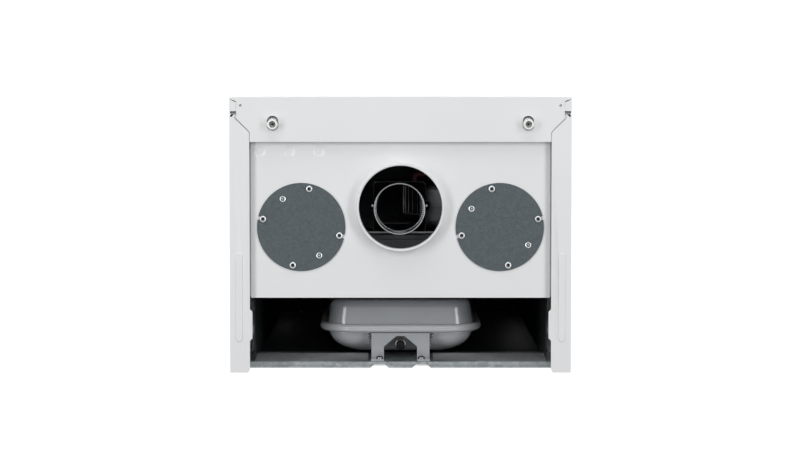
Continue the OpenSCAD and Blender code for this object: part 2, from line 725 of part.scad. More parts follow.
// Prism along X whose outline is given in Y and Z
module prism_x(points, x0, x1) {
    multmatrix([[0, 0, 1, x0], [1, 0, 0, 0], [0, 1, 0, 0], [0, 0, 0, 1]])
        linear_extrude(height = x1 - x0) polygon(points);
}

// Finned copper heat exchanger: five water tubes joined by end bends
fin_n = 26;
fin_pitch = (2 * stack_x - 20) / (fin_n - 1);
module heat_exchanger() {
    z0 = stack_z[1] + 0.3;
    color(copper) {
        for (s = [-1, 1]) block([s * (stack_x - 2) - 0.75, stack_y0, z0], [s * (stack_x - 2) + 0.75, stack_y1, stack_z[0]]);
        for (i = [0:fin_n - 1])
            translate([(i - (fin_n - 1) / 2) * fin_pitch, (stack_y0 + stack_y1) / 2, tube_z])
                cube([0.8, stack_y1 - stack_y0 - 8, 44], center = true);
        for (y = tube_y) rod_x(-stack_x - 6, stack_x + 6, y, tube_z, tube_r);
        for (i = [0:3]) {
            s = i % 2 == 0 ? -1 : 1;
            translate([s * (stack_x + 6), (tube_y[i] + tube_y[i + 1]) / 2, tube_z]) rotate([0, 0, s < 0 ? 90 : -90])
                rotate_extrude(angle = 180) translate([tube_pitch / 2, 0]) circle(r = tube_r);
        }
    }
}

// Steel jacket below the exchanger, lined with fibre boards
board_t = 12;
probe_x = [-30, 0, 30];
probe_z = stack_z[2] + 18;
module combustion_chamber() {
    color(zinc) difference() {
        block([-stack_x, stack_y0, stack_z[2]], [stack_x, stack_y1, stack_z[1]]);
        block([-stack_x + 1, stack_y0 + 1, stack_z[2] - 1], [stack_x - 1, stack_y1 - 1, stack_z[1] + 1]);
        for (x = probe_x) rod_y(x, stack_y0 - 1, stack_y0 + 2, probe_z, 3.1);
    }
}
module insulation_boards() {
    g = 1.2;
    color([0.93, 0.91, 0.86]) difference() {
        block([-stack_x + g, stack_y0 + g, stack_z[2] + 0.5], [stack_x - g, stack_y1 - g, stack_z[1] - 0.5]);
        block([-stack_x + g + board_t, stack_y0 + g + board_t, stack_z[2] - 1],
            [stack_x - g - board_t, stack_y1 - g - board_t, stack_z[1] + 1]);
        for (x = probe_x) rod_y(x, stack_y0, stack_y0 + board_t + 3, probe_z, 3.1);
    }
}

// Atmospheric burner: a row of blade burners on two cross rails, with feet on the chamber's bottom
bar_n = 13;
bar_pitch = (2 * stack_x - 34) / (bar_n - 1);
module burner() {
    color(steel) {
        for (i = [0:bar_n - 1]) translate([(i - (bar_n - 1) / 2) * bar_pitch, 0, 0]) difference() {
            union() {
                block([-4.5, stack_y0 + 18, burner_z], [4.5, stack_y1 - 18, stack_z[2] - 10]);
                rod_y(0, stack_y0 + 18, stack_y1 - 18, stack_z[2] - 10, 4.5);
            }
            rod_y(0, stack_y0 + 10, stack_y0 + 60, manifold_z, 3.4);
        }
        for (y = [stack_y0 + 26, stack_y1 - 32])
            block([-stack_x, y, burner_z - 2], [stack_x, y + 6, burner_z + 4]);
        for (s = [-1, 1]) block([s * (stack_x - 1) - 1, stack_y0, chamber_bottom + sheet_t],
            [s * (stack_x - 1) + 1, stack_y1, stack_z[2]]);
    }
}

// Gas manifold with one injector for each burner blade
module gas_manifold() {
    color(brass) {
        rod_x(-stack_x + 12, stack_x - 12, manifold_y, manifold_z, pipe_r);
        for (i = [0:bar_n - 1])
            rod_y((i - (bar_n - 1) / 2) * bar_pitch, manifold_y, stack_y0 + 24, manifold_z, 3);
        translate([0, manifold_y, gas_box[1][2]]) cylinder(r = pipe_r, h = manifold_z - gas_box[1][2]);
    }
}

// Two ignition electrodes and the flame probe, in ceramic sleeves on one plate
module electrodes() {
    color([0.9, 0.88, 0.84]) {
        for (x = probe_x) {
            rod_y(x, stack_y0 - 24, stack_y0 + 16, probe_z, 3);
            rod_y(x, stack_y0 + 15, stack_y0 + 40, probe_z, 1);
        }
        block([-42, stack_y0 - 2, probe_z - 8], [42, stack_y0, probe_z + 8]);
    }
}

// Air pressure switch on the chamber's side, and its hose from the fan
hose_tap = [-18, outlet_y0, -8];
hose_out = 10;
nipple_x = 20;
switch_y = hose_tap[1] - hose_out;
switch_z = -60;
switch_x = -chamber_x + sheet_t;
switch_r = 33;
module pressure_switch() {
    color(black) {
        rod_x(switch_x, switch_x + 14, switch_y, switch_z, switch_r);
        rod_x(switch_x + 14, switch_x + 26, switch_y, switch_z, switch_r - 7);
        translate([switch_x + nipple_x, switch_y, switch_z + switch_r - 9]) cylinder(r = 3, h = 12);
    }
}
module pressure_hose() {
    color([0.4, 0.08, 0.09]) difference() {
        pipe([hose_tap, hose_tap - [0, hose_out, 0], [switch_x + nipple_x, switch_y, hose_tap[2]],
            [switch_x + nipple_x, switch_y, switch_z + 28]], 4.5, 8);
        translate([switch_x + nipple_x, switch_y, switch_z + 20]) cylinder(r = 3.05, h = 16.2);
    }
}

// Gas valve with its coil, below the chamber
module gas_valve() {
    color(zinc) {
        block(gas_box[0], gas_box[1]);
        rod_y(0, gas_box[0][1] - 6, gas_box[0][1], gas_box[0][2] + 20, 12);
        rod_x(gas_box[1][0], gas_box[1][0] + 30, coil_y, gas_pipe_z, 16);
    }
}
module gas_pipe() {
    color(zinc) tube([[0, port_y, shelf_z + 20], [0, port_y, gas_pipe_z], [0, gas_box[1][1], gas_pipe_z]],
        pipe_r, pipe_t, 22);
}
module flow_pipe() {
    color(copper) tube([[-stack_x - 6, tube_y[4], tube_z], [-riser_x, tube_y[4], tube_z],
        [-riser_x, tube_y[4], flow_top]], pipe_r, pipe_t, 20);
}
module return_pipe() {
    color(copper) tube([[stack_x + 6, tube_y[0], tube_z], [riser_x, tube_y[0], tube_z],
        [riser_x, riser_y, tube_z], [riser_x, riser_y, pump_z + motor_r]], pipe_r, pipe_t, 16);
}

// Brass block of the heating flow, with the diverter's seat
block_foot = 8;
stem_z = -610;
stem_x = port_x[0];
module flow_block() {
    color(brass) difference() {
        union() {
            block([-block_x1, block_y0, block_low], [-block_x0, block_y1, flow_top]);
            translate([port_x[0], port_y, block_low - block_foot])
                cylinder(r = port_r[0] + nut_r, h = block_foot + 1, $fn = 6);
        }
        rod_y(stem_x, block_y0 + 8, block_y1 - 15, stem_z, 13);
        rod_y(stem_x, block_y0 - 1, block_y0 + 9, stem_z, spindle_r + running);
    }
}
module return_block() {
    color(brass) difference() {
        return_block_body();
        translate([port_x[3], fill_y, shelf_z]) cylinder(r = spindle_r + running, h = 18);
    }
}
module return_block_body() {
    union() {
        block([block_x0, block_y0, block_low], [block_x1, block_y1, block_top]);
        translate([port_x[4], port_y, block_low - block_foot])
            cylinder(r = port_r[4] + nut_r, h = block_foot + 1, $fn = 6);
        block([port_x[3] - 12, fill_y - 14, shelf_z + 6], [port_x[3] + 12, fill_y + 22, block_low - 3]);
        block([port_x[3] + 11, block_y0 - 10, block_low - 14], [block_x0 + 8, block_y0 + 8, block_low + 6]);
    }
}

// Pump: cast volute, canned motor and rotor
volute_y0 = -150;
volute_y1 = -98;
motor_y0 = -232;
module pump_body() {
    color([0.25, 0.26, 0.28]) difference() {
        union() {
            rod_y(riser_x, volute_y0, volute_y1, pump_z, motor_r);
            translate([riser_x, riser_y, block_top]) cylinder(r = 16, h = 40);
        }
        rod_y(riser_x, volute_y0 - 1, volute_y1 - 8, pump_z, motor_r - 8);
    }
}
module pump_motor() {
    color(black) difference() {
        rod_y(riser_x, motor_y0, volute_y0, pump_z, motor_r);
        rod_y(riser_x, motor_y0 + 12, volute_y0 + 1, pump_z, 20);
        rod_y(riser_x, motor_y0 + 4, volute_y0, pump_z, shaft_r + running);
    }
}
module pump_rotor() {
    color(steel) {
        rod_y(riser_x, volute_y0 + 4, volute_y0 + 24, pump_z, motor_r - 12);
        rod_y(riser_x, motor_y0 + 16, volute_y0 - 4, pump_z, 18);
        rod_y(riser_x, motor_y0 + 5, volute_y0 + 5, pump_z, shaft_r);
    }
}

// Brazed plate heat exchanger between the two blocks
plate_n = 11;
plate_pitch = 5.3;
plate_y0 = block_y0 - 34;
plate_x = block_x0 - seat;
module plate_exchanger() {
    color(steel) {
        block([-plate_x + 2, plate_y0, plate_z0 + 2],
            [plate_x - 2, plate_y0 + (plate_n - 1) * plate_pitch + 3, plate_z1 - 2]);
        for (i = [0:plate_n - 1]) translate([0, plate_y0 + i * plate_pitch, 0])
            block([-plate_x, 0, plate_z0], [plate_x, 3, plate_z1]);
    }
}

// Diverter valve: a stem that slides in the flow block, and its motor head
module diverter_stem() {
    color(steel) {
        rod_y(stem_x, diverter_y0 + 16, block_y1 - 24, stem_z, spindle_r);
        rod_y(stem_x, block_y0 + 17, block_y0 + 22, stem_z, 12);
    }
}
module diverter_actuator() {
    color(black) difference() {
        union() {
            block([stem_x - 26, diverter_y0, stem_z - 24], [stem_x + 26, block_y0 - 18, stem_z + 24]);
            rod_y(stem_x, block_y0 - 18 - eps, block_y0, stem_z, 15);
        }
        rod_y(stem_x, diverter_y0 + 6, block_y0 + 1, stem_z, spindle_r + running);
    }
}
vent_x = -block_x0 - 16;
vent_h = 46;
module air_vent() {
    color(brass) {
        translate([vent_x, riser_y, flow_top]) cylinder(r = 12, h = vent_h);
        translate([vent_x, riser_y, flow_top + vent_h]) cylinder(r = 4, h = 10);
    }
}

// Safety valve and its turn-to-open knob
safety_x = 112;
safety_z = -634;
module safety_valve() {
    color(brass) difference() {
        union() {
            rod_y(safety_x, block_y0 - 32, block_y0, safety_z, 13);
            translate([safety_x, block_y0 - 16, bottom_z - 6]) cylinder(r = 8, h = safety_z - bottom_z + 6);
        }
        rod_y(safety_x, block_y0 - 33, block_y0 - 20, safety_z, spindle_r + running);
    }
}
module safety_knob() {
    color("firebrick") {
        rod_y(safety_x, block_y0 - 32 - seat - 16, block_y0 - 32 - seat, safety_z, 16);
        block([safety_x - 19, block_y0 - 48, safety_z - 4], [safety_x + 19, block_y0 - 33.2, safety_z + 4]);
        rod_y(safety_x, block_y0 - 33, block_y0 - 21, safety_z, spindle_r);
    }
}

// Filling valve's knob, under its body on the return block
fill_y = -164;
module filling_knob() {
    color(black) {
        translate([port_x[3], fill_y, bottom_z - 24]) cylinder(r = 13, h = 14);
        for (a = [0:60:300]) translate([port_x[3] + 12 * cos(a), fill_y + 12 * sin(a), bottom_z - 24])
            cylinder(r = 3, h = 14);
        translate([port_x[3], fill_y, bottom_z - 11]) cylinder(r = spindle_r, h = 29);
    }
}

// Gas cock and its lever
cock_low = bottom_z - 60;
lever_z = bottom_z - 22;
lever_l = 46;
module gas_cock() {
    color(brass) difference() {
        union() {
            translate([0, port_y, cock_low]) cylinder(r = heat_port_r, h = shelf_z + 20 - cock_low);
            translate([0, port_y, lever_z - 14]) cylinder(r = heat_port_r + nut_r, h = 28, $fn = 6);
            rod_y(0, port_y - 21, port_y, lever_z, 8);
        }
        rod_y(0, port_y - 22, port_y - 10, lever_z, spindle_r + running);
        translate([0, port_y, cock_low - 1]) cylinder(r = heat_port_r - port_wall, h = port_bore_l - 4);
    }
}
module gas_lever() {
    color([0.85, 0.68, 0.1]) {
        rod_y(0, port_y - 21 - seat - 4, port_y - 21 - seat, lever_z, 9);
        block([0, port_y - 21 - seat - 4, lever_z - 5], [lever_l, port_y - 21 - seat, lever_z + 5]);
        rod_y(0, port_y - 22, port_y - 11, lever_z, spindle_r);
    }
}

// Flat expansion vessel: two pressed halves, each swelling from a rounded rectangle at the seam
module vessel_dome(grow, bulge) {
    w = vessel_w / 2 - rim_r - 6 + grow;
    h = vessel_h / 2 - rim_r - 6 + grow;
    c = vessel_corner;
    hull() {
        for (sx = [-1, 1], sz = [-1, 1]) {
            translate([sx * (w - c), 0, sz * (h - c)]) rotate([90, 0, 0]) cylinder(r = c, h = bulge * 0.3, $fn = 32);
            translate([sx * (w - c), 0, sz * (h - c)]) rotate([90, 0, 0]) cylinder(r = c - 6, h = bulge * 0.68, $fn = 32);
            translate([sx * (w - c), 0, sz * (h - c)]) rotate([90, 0, 0]) cylinder(r = c - 18, h = bulge * 0.9, $fn = 32);
            translate([sx * (w - c), 0, sz * (h - c)]) rotate([90, 0, 0]) cylinder(r = c - 34, h = bulge, $fn = 32);
        }
    }
}
// Rounded rectangle in X and Z, from y0 to y1
module vessel_slab(grow, y0, y1) {
    w = vessel_w / 2 + grow;
    h = vessel_h / 2 + grow;
    c = vessel_corner + rim_r + grow;
    translate([0, y1, vessel_mid_z]) rotate([90, 0, 0]) linear_extrude(height = y1 - y0) union() {
        square([2 * w, 2 * (h - c)], center = true);
        square([2 * (w - c), 2 * h], center = true);
        for (sx = [-1, 1], sz = [-1, 1]) translate([sx * (w - c), sz * (h - c)]) circle(r = c);
    }
}
module vessel_half(s) {
    color(vessel_grey) difference() {
        union() {
            vessel_shell(s);
            difference() {
                vessel_slab(0, s > 0 ? vessel_y : vessel_y - rim_r, s > 0 ? vessel_y + rim_r : vessel_y);
                vessel_slab(-rim_r - 7, vessel_y - rim_r - 1, vessel_y + rim_r + 1);
            }
        }
        if (s < 0) vessel_slab(-rim_r - 5, vessel_y - 1.5, vessel_y + 1);
    }
}
module vessel_shell(s) {
    difference() {
        translate([0, vessel_y, vessel_mid_z]) mirror([0, s > 0 ? 1 : 0, 0]) vessel_dome(0, vessel_bulge);
        translate([0, vessel_y, vessel_mid_z]) mirror([0, s > 0 ? 1 : 0, 0])
            translate([0, 0.1, 0]) vessel_dome(-shell_t, vessel_bulge - shell_t);
        if (s > 0) translate([0, valve_y, vessel_top - 30]) cylinder(r = valve_r + 0.2, h = 40);
        if (s < 0) translate([hose_x, hose_y, vessel_top - vessel_h - 5]) cylinder(r = hose_r + 0.2, h = 30);
    }
}
module vessel_front_half() vessel_half(-1);
module vessel_rear_half() vessel_half(1);
module vessel_diaphragm() {
    color(black) vessel_slab(-rim_r - 5.3, vessel_y - 1.3, vessel_y - seat + 0.1);
}

// Bracket on two welded feet behind the vessel's seam, with legs up against the rail's web
bracket_x = 36;
bracket_leg = 15.5;
bracket_t = 2.5;
bracket_y0 = -rail_d - bracket_t;
bracket_z = vessel_top - 4;
bracket_y1 = vessel_y + rim_r + seat;
bracket_foot_l = 4.5;
valve_y = -25;
valve_r = 4.8;
module bracket_outline() {
    polygon([[-bracket_x, bracket_y1], [bracket_x, bracket_y1], [bracket_x, -rail_d],
        [bracket_x - bracket_leg, -rail_d], [bracket_x - bracket_leg, -22.5], [5, -35.5], [-5, -35.5],
        [-bracket_x + bracket_leg, -22.5], [-bracket_x + bracket_leg, -rail_d], [-bracket_x, -rail_d]]);
}
module vessel_bracket() {
    color(vessel_grey) difference() {
        union() {
            translate([0, 0, bracket_z]) linear_extrude(height = bracket_t) bracket_outline();
            for (s = [-1, 1]) right_hand(s) {
                block([bracket_x - bracket_leg, bracket_y0, bracket_z], [bracket_x, -rail_d, -4]);
                block([bracket_x - bracket_t, bracket_y1, vessel_top - rim_r - 6 + seat],
                    [bracket_x, bracket_y1 + bracket_foot_l, bracket_z + eps]);
            }
        }
        for (s = [-1, 1])
            rod_y(s * bracket_screw_x, bracket_y0 - 1, -rail_d + 1, bracket_screw_z, bracket_screw_r);
    }
}
module vessel_valve() {
    color(steel) {
        translate([0, valve_y, vessel_top - 26]) cylinder(r = valve_r, h = 30);
        translate([0, valve_y, vessel_top - 10]) cylinder(r = 8.4, h = 5, $fn = 6);
    }
}
module vessel_valve_cap() {
    color(black) difference() {
        translate([0, valve_y, vessel_top - 4.6]) cylinder(r = 6, h = 14);
        translate([0, valve_y, vessel_top - 5]) cylinder(r = valve_r + running, h = 9.2);
    }
}

// Hose from the vessel's foot to the return block
hose_x = 40;
hose_r = 6;
hose_y = vessel_y - rim_r - hose_r - 0.5;
hose_low = block_low + 25;
hose_turn_z = vessel_top - vessel_h - 38;
module vessel_hose() {
    color(steel) tube([[hose_x, hose_y, vessel_top - vessel_h + 17], [hose_x, hose_y, hose_turn_z],
        [block_x0 + hose_r, hose_y, hose_turn_z], [block_x0 + hose_r, hose_y, hose_low],
        [block_x0 + hose_r, block_y1, hose_low]], hose_r, pipe_t, 14);
}

// Water connections: four threaded stubs with their collars, and the tap water elbows
elbow_z = block_low + 4.5;
module water_connections() {
    color(brass) difference() {
        union() {
            for (i = [0, 4]) translate([port_x[i], port_y, port_low])
                cylinder(r = port_r[i], h = block_low - block_foot - port_low);
            for (i = [1, 3]) {
                translate([port_x[i], port_y, port_low]) cylinder(r = port_r[i], h = shelf_z + 12 - port_low);
                pipe([[port_x[i], port_y, shelf_z + 11], [port_x[i], port_y, elbow_z],
                    [port_x[i], block_y0, elbow_z], [port_x[i], block_y0, plate_z0]], 6, 8);
            }
            for (i = [0, 1, 3, 4], z = [shelf_z - nut_h, shelf_z + zinc_t]) translate([port_x[i], port_y, z])
                cylinder(r = port_r[i] + nut_r, h = nut_h, $fn = 6);
        }
        for (i = [0, 1, 3, 4]) translate([port_x[i], port_y, port_low - 1])
            cylinder(r = port_r[i] - port_wall, h = port_bore_l + 1);
    }
}

// Control box behind the fascia, hung on two pins near its lower rear edge
module control_box() {
    color([0.3, 0.31, 0.33]) difference() {
        union() {
            block([-178, fascia_y1, bottom_z + 3], [178, control_y1, control_top - 3]);
            for (s = [-1, 1]) right_hand(s)
                rod_x(177, side_x - sheet_t - 2, hinge_y, hinge_z, spindle_r);
        }
        block([-175.5, fascia_y1 + 2, bottom_z + 5.5], [175.5, control_y1 - 2, control_top - 5.5]);
        for (x = knob_x) rod_y(x, fascia_y1 - 1, fascia_y1 + 3, knob_z, spindle_r + running);
        rod_y(gauge_x, fascia_y1 - 1, fascia_y1 + 3, knob_z, 8);
        rod_y(button_x, fascia_y1 - 1, fascia_y1 + 3, knob_z, 6.3);
        rod_x(-179, -170, control_y1 - 20, knob_z, 7);
    }
}
module fascia() {
    color([0.86, 0.86, 0.87]) difference() {
        union() {
            block([-rail_x, fascia_y0, bottom_z], [rail_x, fascia_y1, control_top - 2]);
            for (x = knob_x) rod_y(x, fascia_y0 - 1, fascia_y0 + 1, knob_z, knob_r + 4);
        }
        for (x = knob_x) rod_y(x, fascia_y0 - 2, fascia_y1 + 1, knob_z, spindle_r + running);
        rod_y(gauge_x, fascia_y0 - 1, fascia_y1 + 1, knob_z, gauge_r + 0.2);
        rod_y(button_x, fascia_y0 - 1, fascia_y1 + 1, knob_z, 8.4);
    }
}
board_y = fascia_y1 + 18;
board_x = 150;
module circuit_board() {
    color([0.1, 0.35, 0.2]) {
        block([-board_x, board_y, bottom_z + 5.5], [board_x, board_y + 1.6, control_top - 8]);
        for (x = [-120, -60, 40, 100])
            block([x, board_y + 1, bottom_z + 25], [x + 28, board_y + 18, bottom_z + 55]);
    }
}
module pressure_gauge() {
    color("white") difference() {
        union() {
            rod_y(gauge_x, fascia_y0 + 0.5, fascia_y1, knob_z, gauge_r);
            rod_y(gauge_x, fascia_y1 - eps, fascia_y1 + 14, knob_z, 7.8);
        }
        rod_y(gauge_x, fascia_y0 - 1, fascia_y0 + 1.6, knob_z, gauge_r - 1.4);
        rod_y(gauge_x, fascia_y0, fascia_y1 + 5, knob_z, 1 + running);
    }
}
module gauge_needle() {
    color("black") {
        rod_y(gauge_x, fascia_y0 + 0.7, fascia_y1 + 4, knob_z, 1);
        rod_y(gauge_x, fascia_y0 + 0.6, fascia_y0 + 1.2, knob_z, 2.4);
        translate([gauge_x, 0, knob_z]) rotate([0, -135, 0])
            block([-0.7, fascia_y0 + 0.6, -4], [0.7, fascia_y0 + 1.2, 14]);
    }
}
module heating_knob() {
    color([0.8, 0.8, 0.81]) knob(knob_x[0]);
}
module water_knob() {
    color([0.8, 0.8, 0.81]) knob(knob_x[1]);
}
module knob(x) {
    rod_y(x, fascia_y0 - 1 - seat - knob_h + 1, fascia_y0 - 1 - seat, knob_z, knob_r);
    rod_y(x, fascia_y0 - 2, fascia_y1 + 12, knob_z, spindle_r);
}
module power_button() {
    color([0.75, 0.76, 0.78]) {
        rod_y(button_x, fascia_y0 - 3, fascia_y1 - 3, knob_z, 8);
        rod_y(button_x, fascia_y1 - 3 - eps, fascia_y1 + 8, knob_z, 6);
    }
}

hanging_rail();
back_frame();
left_side_panel();
right_side_panel();
front_casing();
casing_pins();
housing_screws();
chamber_box();
chamber_cover();
flue_collar();
blanking_plates();
blanking_screws();
fan_scroll_front();
fan_scroll_rear();
flue_spigot();
fan_wheel();
fan_motor();
flue_hood();
heat_exchanger();
combustion_chamber();
insulation_boards();
burner();
gas_manifold();
electrodes();
pressure_switch();
pressure_hose();
gas_valve();
gas_pipe();
flow_pipe();
return_pipe();
flow_block();
return_block();
pump_body();
pump_motor();
pump_rotor();
plate_exchanger();
diverter_stem();
diverter_actuator();
air_vent();
safety_valve();
safety_knob();
filling_knob();
gas_cock();
gas_lever();
vessel_front_half();
vessel_rear_half();
vessel_diaphragm();
vessel_bracket();
vessel_valve();
vessel_valve_cap();
vessel_hose();
water_connections();
control_box();
fascia();
circuit_board();
pressure_gauge();
gauge_needle();
heating_knob();
water_knob();
power_button();
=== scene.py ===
import bmesh, bpy, json, math
import numpy as np
from mathutils import Matrix, Vector


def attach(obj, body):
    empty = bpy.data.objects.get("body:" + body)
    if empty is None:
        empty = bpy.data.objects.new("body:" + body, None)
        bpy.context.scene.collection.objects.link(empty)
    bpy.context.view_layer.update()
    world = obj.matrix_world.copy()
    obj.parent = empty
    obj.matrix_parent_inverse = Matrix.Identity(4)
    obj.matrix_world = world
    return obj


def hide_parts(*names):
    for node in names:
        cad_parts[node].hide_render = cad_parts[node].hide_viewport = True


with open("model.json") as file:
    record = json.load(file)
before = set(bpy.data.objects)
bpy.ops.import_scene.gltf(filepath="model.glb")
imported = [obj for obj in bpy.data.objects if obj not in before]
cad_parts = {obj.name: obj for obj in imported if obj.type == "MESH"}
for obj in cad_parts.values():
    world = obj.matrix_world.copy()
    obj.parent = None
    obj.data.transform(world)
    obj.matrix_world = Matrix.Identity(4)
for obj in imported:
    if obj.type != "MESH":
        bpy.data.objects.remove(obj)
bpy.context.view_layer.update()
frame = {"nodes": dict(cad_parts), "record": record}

scene = bpy.context.scene
nodes = frame["nodes"]
bodyOf = {n: b for b, names in frame["record"]["behaviour"]["bodies"].items() for n in names}
slotOf = {part["node"]: part["material_slot"] for part in frame["record"]["subparts"]}
mm = 0.001


# small helpers

def linearColour(hexText):
    # sRGB to linear: c / 12.92 below 0.04045, else ((c + 0.055) / 1.055) to the power 2.4
    parts = [int(hexText[i:i + 2], 16) / 255 for i in (0, 2, 4)]
    return tuple(c / 12.92 if c <= 0.04045 else ((c + 0.055) / 1.055) ** 2.4 for c in parts) + (1.0,)


def addNode(tree, kind, sockets=None, **settings):
    # adds a shader node, sets its options, then links or sets each named socket
    node = tree.nodes.new("ShaderNode" + kind)
    for name, value in settings.items():
        setattr(node, name, value)
    for name, value in (sockets or {}).items():
        if isinstance(value, bpy.types.NodeSocket):
            tree.links.new(value, node.inputs[name])
        else:
            node.inputs[name].default_value = value
    return node


def emptyTree(owner):
    # node tree of a material or a world, cleared
    owner.use_nodes = True
    owner.node_tree.nodes.clear()
    return owner.node_tree


def newMaterial(name, look, tones, *values):
    # material whose Principled shader gets the sockets that look gives for the object coordinates
    material = bpy.data.materials.new(name)
    tree = emptyTree(material)
    coords = addNode(tree, "TexCoord").outputs["Object"]
    bsdf = addNode(tree, "BsdfPrincipled", look(tree, coords, tones.split(), *values))
    addNode(tree, "OutputMaterial", {"Surface": bsdf.outputs[0]})
    return material


def noise(tree, coords, sizeMm, detail=2.0, rough=0.5):
    # noise whose features are about sizeMm across
    sockets = {"Vector": coords, "Scale": 1000 / sizeMm, "Detail": detail, "Roughness": rough}
    return addNode(tree, "TexNoise", sockets).outputs["Fac"]


def maths(tree, operation, a, b):
    return addNode(tree, "Math", {0: a, 1: b}, operation=operation).outputs[0]


def mixed(tree, share, a, b):
    return addNode(tree, "MixRGB", {"Fac": share, "Color1": a, "Color2": b}).outputs[0]


def ramp(tree, fac, places, tones):
    # colour ramp with a tone at each place
    node = addNode(tree, "ValToRGB", {"Fac": fac})
    band = node.color_ramp
    while len(band.elements) < len(places):
        band.elements.new(0.5)
    for element, place, tone in zip(band.elements, places, tones):
        element.position = place
        element.color = linearColour(tone)
    return node.outputs["Color"]


def twoTone(tree, fac, tones):
    # noise lies mostly between 0.3 and 0.7, so the two tones are reached there
    return ramp(tree, fac, (0.3, 0.7), tones)


def toRange(tree, value, low, high, fromLow=0.3, fromHigh=0.7):
    # value carried from one range to another, clamped
    sockets = {"Value": value, "From Min": fromLow, "From Max": fromHigh, "To Min": low, "To Max": high}
    return addNode(tree, "MapRange", sockets).outputs["Result"]


def markOf(tree, markName):
    # painted shade, or wear and painted light, as the piece stores it at its points
    return addNode(tree, "Attribute", attribute_name=markName).outputs["Fac"]


def withPaintedLightAndShade(tree, colour, paleTone="a9acae", dark="050506"):
    # painted shade: what a piece marks, recesses and shaded parts, turns dark; painted light and real wear:
    # what it marks turns to the paler tone
    worn = mixed(tree, markOf(tree, "wearAndPaintedLight"), colour, linearColour(paleTone))
    return mixed(tree, markOf(tree, "paintedShade"), worn, linearColour(dark))


def bumped(tree, height, strength, depthMm):
    # bump whose full height is depthMm
    sockets = {"Height": height, "Strength": strength, "Distance": depthMm * mm}
    return addNode(tree, "Bump", sockets).outputs["Normal"]


# looks of the real materials: pattern sizes are in mm on the real object

def powderCoat(tree, coords, tones, gloss=0.34):
    # powder-coated sheet: faint orange peel about 1.4 mm across, with slow changes of tone
    peel = noise(tree, coords, 1.4)
    return {"Coat Weight": 0.12, "Coat Roughness": 0.2,
            "Base Color": twoTone(tree, noise(tree, coords, 90, 3), tones),
            "Roughness": toRange(tree, peel, gloss - 0.04, gloss + 0.06),
            "Normal": bumped(tree, peel, 0.35, 0.03)}


def galvanised(tree, coords, tones, crystalMm, gloss=0.42, metal=0.75, mirror=0.5):
    # hot-dip zinc: crystals a few mm across, each with its own tone and shine; painted shade darkens it and
    # makes it matt
    drift = addNode(tree, "TexNoise", {"Vector": coords, "Scale": 1000 / (crystalMm * 1.3)})
    bent = mixed(tree, 0.012, coords, drift.outputs["Color"])
    cells = addNode(tree, "TexVoronoi", {"Vector": bent, "Scale": 1000 / crystalMm})
    tone = addNode(tree, "SeparateColor", {"Color": cells.outputs["Color"]}).outputs[0]
    fine = noise(tree, coords, crystalMm * 0.35, 4, 0.65)
    mean = maths(tree, "MULTIPLY", maths(tree, "ADD", tone, fine), 0.5)
    paintedShade = markOf(tree, "paintedShade")
    return {"Base Color": withPaintedLightAndShade(tree, ramp(tree, mean, (0.15, 0.5, 0.85), tones)),
            "Metallic": toRange(tree, paintedShade, metal, 0.0, 0, 1),
            "Specular IOR Level": toRange(tree, paintedShade, mirror, mirror * 0.1, 0, 1),
            "Roughness": toRange(tree, tone, gloss - 0.08, gloss + 0.1, 0, 1),
            "Normal": bumped(tree, fine, 0.2, 0.03)}


def drawnMetal(tree, coords, tones, gloss, grainMm=(0.5, 0.5, 8)):
    # rolled or drawn metal: fine streaks along one way and slow changes of shine; the mapping scales the
    # coordinates, so the noise is taken at scale 1
    stretched = addNode(tree, "Mapping", {"Vector": coords, "Scale": tuple(1000 / g for g in grainMm)})
    streaks = noise(tree, stretched.outputs[0], 1000)
    # painted shade and painted light, as a piece marks them, change the tone
    return {"Metallic": 1.0, "Base Color": withPaintedLightAndShade(tree, twoTone(tree, noise(tree, coords, 22, 3), tones)),
            "Roughness": toRange(tree, streaks, gloss - 0.06, gloss + 0.08),
            "Normal": bumped(tree, streaks, 0.15, 0.02)}


def mouldedPlastic(tree, coords, tones, gloss=0.45, grainMm=0.7, grain=0.25, glint=0.5):
    # moulded plastic: spark-eroded grain and faint changes of tone
    fine = noise(tree, coords, grainMm, 3)
    return {"IOR": 1.49, "Specular IOR Level": glint,
            "Base Color": twoTone(tree, noise(tree, coords, 35), tones),
            "Roughness": toRange(tree, fine, gloss - 0.05, gloss + 0.07),
            "Normal": bumped(tree, fine, grain, 0.04)}


def glossPaint(tree, coords, tones, gloss=0.16):
    # stoved gloss paint over pressed steel: soft peel, paler where a piece marks painted light, and dark
    # where it marks painted shade
    peel = noise(tree, coords, 4)
    paint = twoTone(tree, noise(tree, coords, 60, 3), tones)
    return {"Coat Weight": 0.6, "Coat Roughness": 0.08, "IOR": 1.5, "Base Color": withPaintedLightAndShade(tree, paint, "c8cacd"),
            "Roughness": toRange(tree, peel, gloss - 0.03, gloss + 0.05),
            "Normal": bumped(tree, peel, 0.2, 0.05)}


def rawCasting(tree, coords, tones, gloss, metal, grainMm=1.1):
    # sand or die casting: rounded grain with darker hollows
    grain = noise(tree, coords, grainMm, 5, 0.6)
    return {"Metallic": metal, "Base Color": twoTone(tree, grain, tones),
            "Roughness": toRange(tree, grain, gloss + 0.1, gloss - 0.05),
            "Normal": bumped(tree, grain, 0.5, 0.12)}


def steelBraid(tree, coords, tones, strandMm=1.3, lean=0.8):
    # woven steel wire: two sets of bands that cross, the higher one on top; a wave is 314 mm over its scale
    sets = []
    for turn in (-lean, lean):
        turned = addNode(tree, "Mapping", {"Vector": coords, "Rotation": (turn, turn, turn)})
        bands = {"Vector": turned.outputs[0], "Scale": 314 / strandMm, "Distortion": 0.4}
        sets.append(addNode(tree, "TexWave", bands).outputs["Fac"])
    high = maths(tree, "MAXIMUM", *sets)
    return {"Metallic": 0.9, "Roughness": 0.38, "Base Color": ramp(tree, high, (0.4, 0.9), tones),
            "Normal": bumped(tree, high, 0.6, 0.25)}


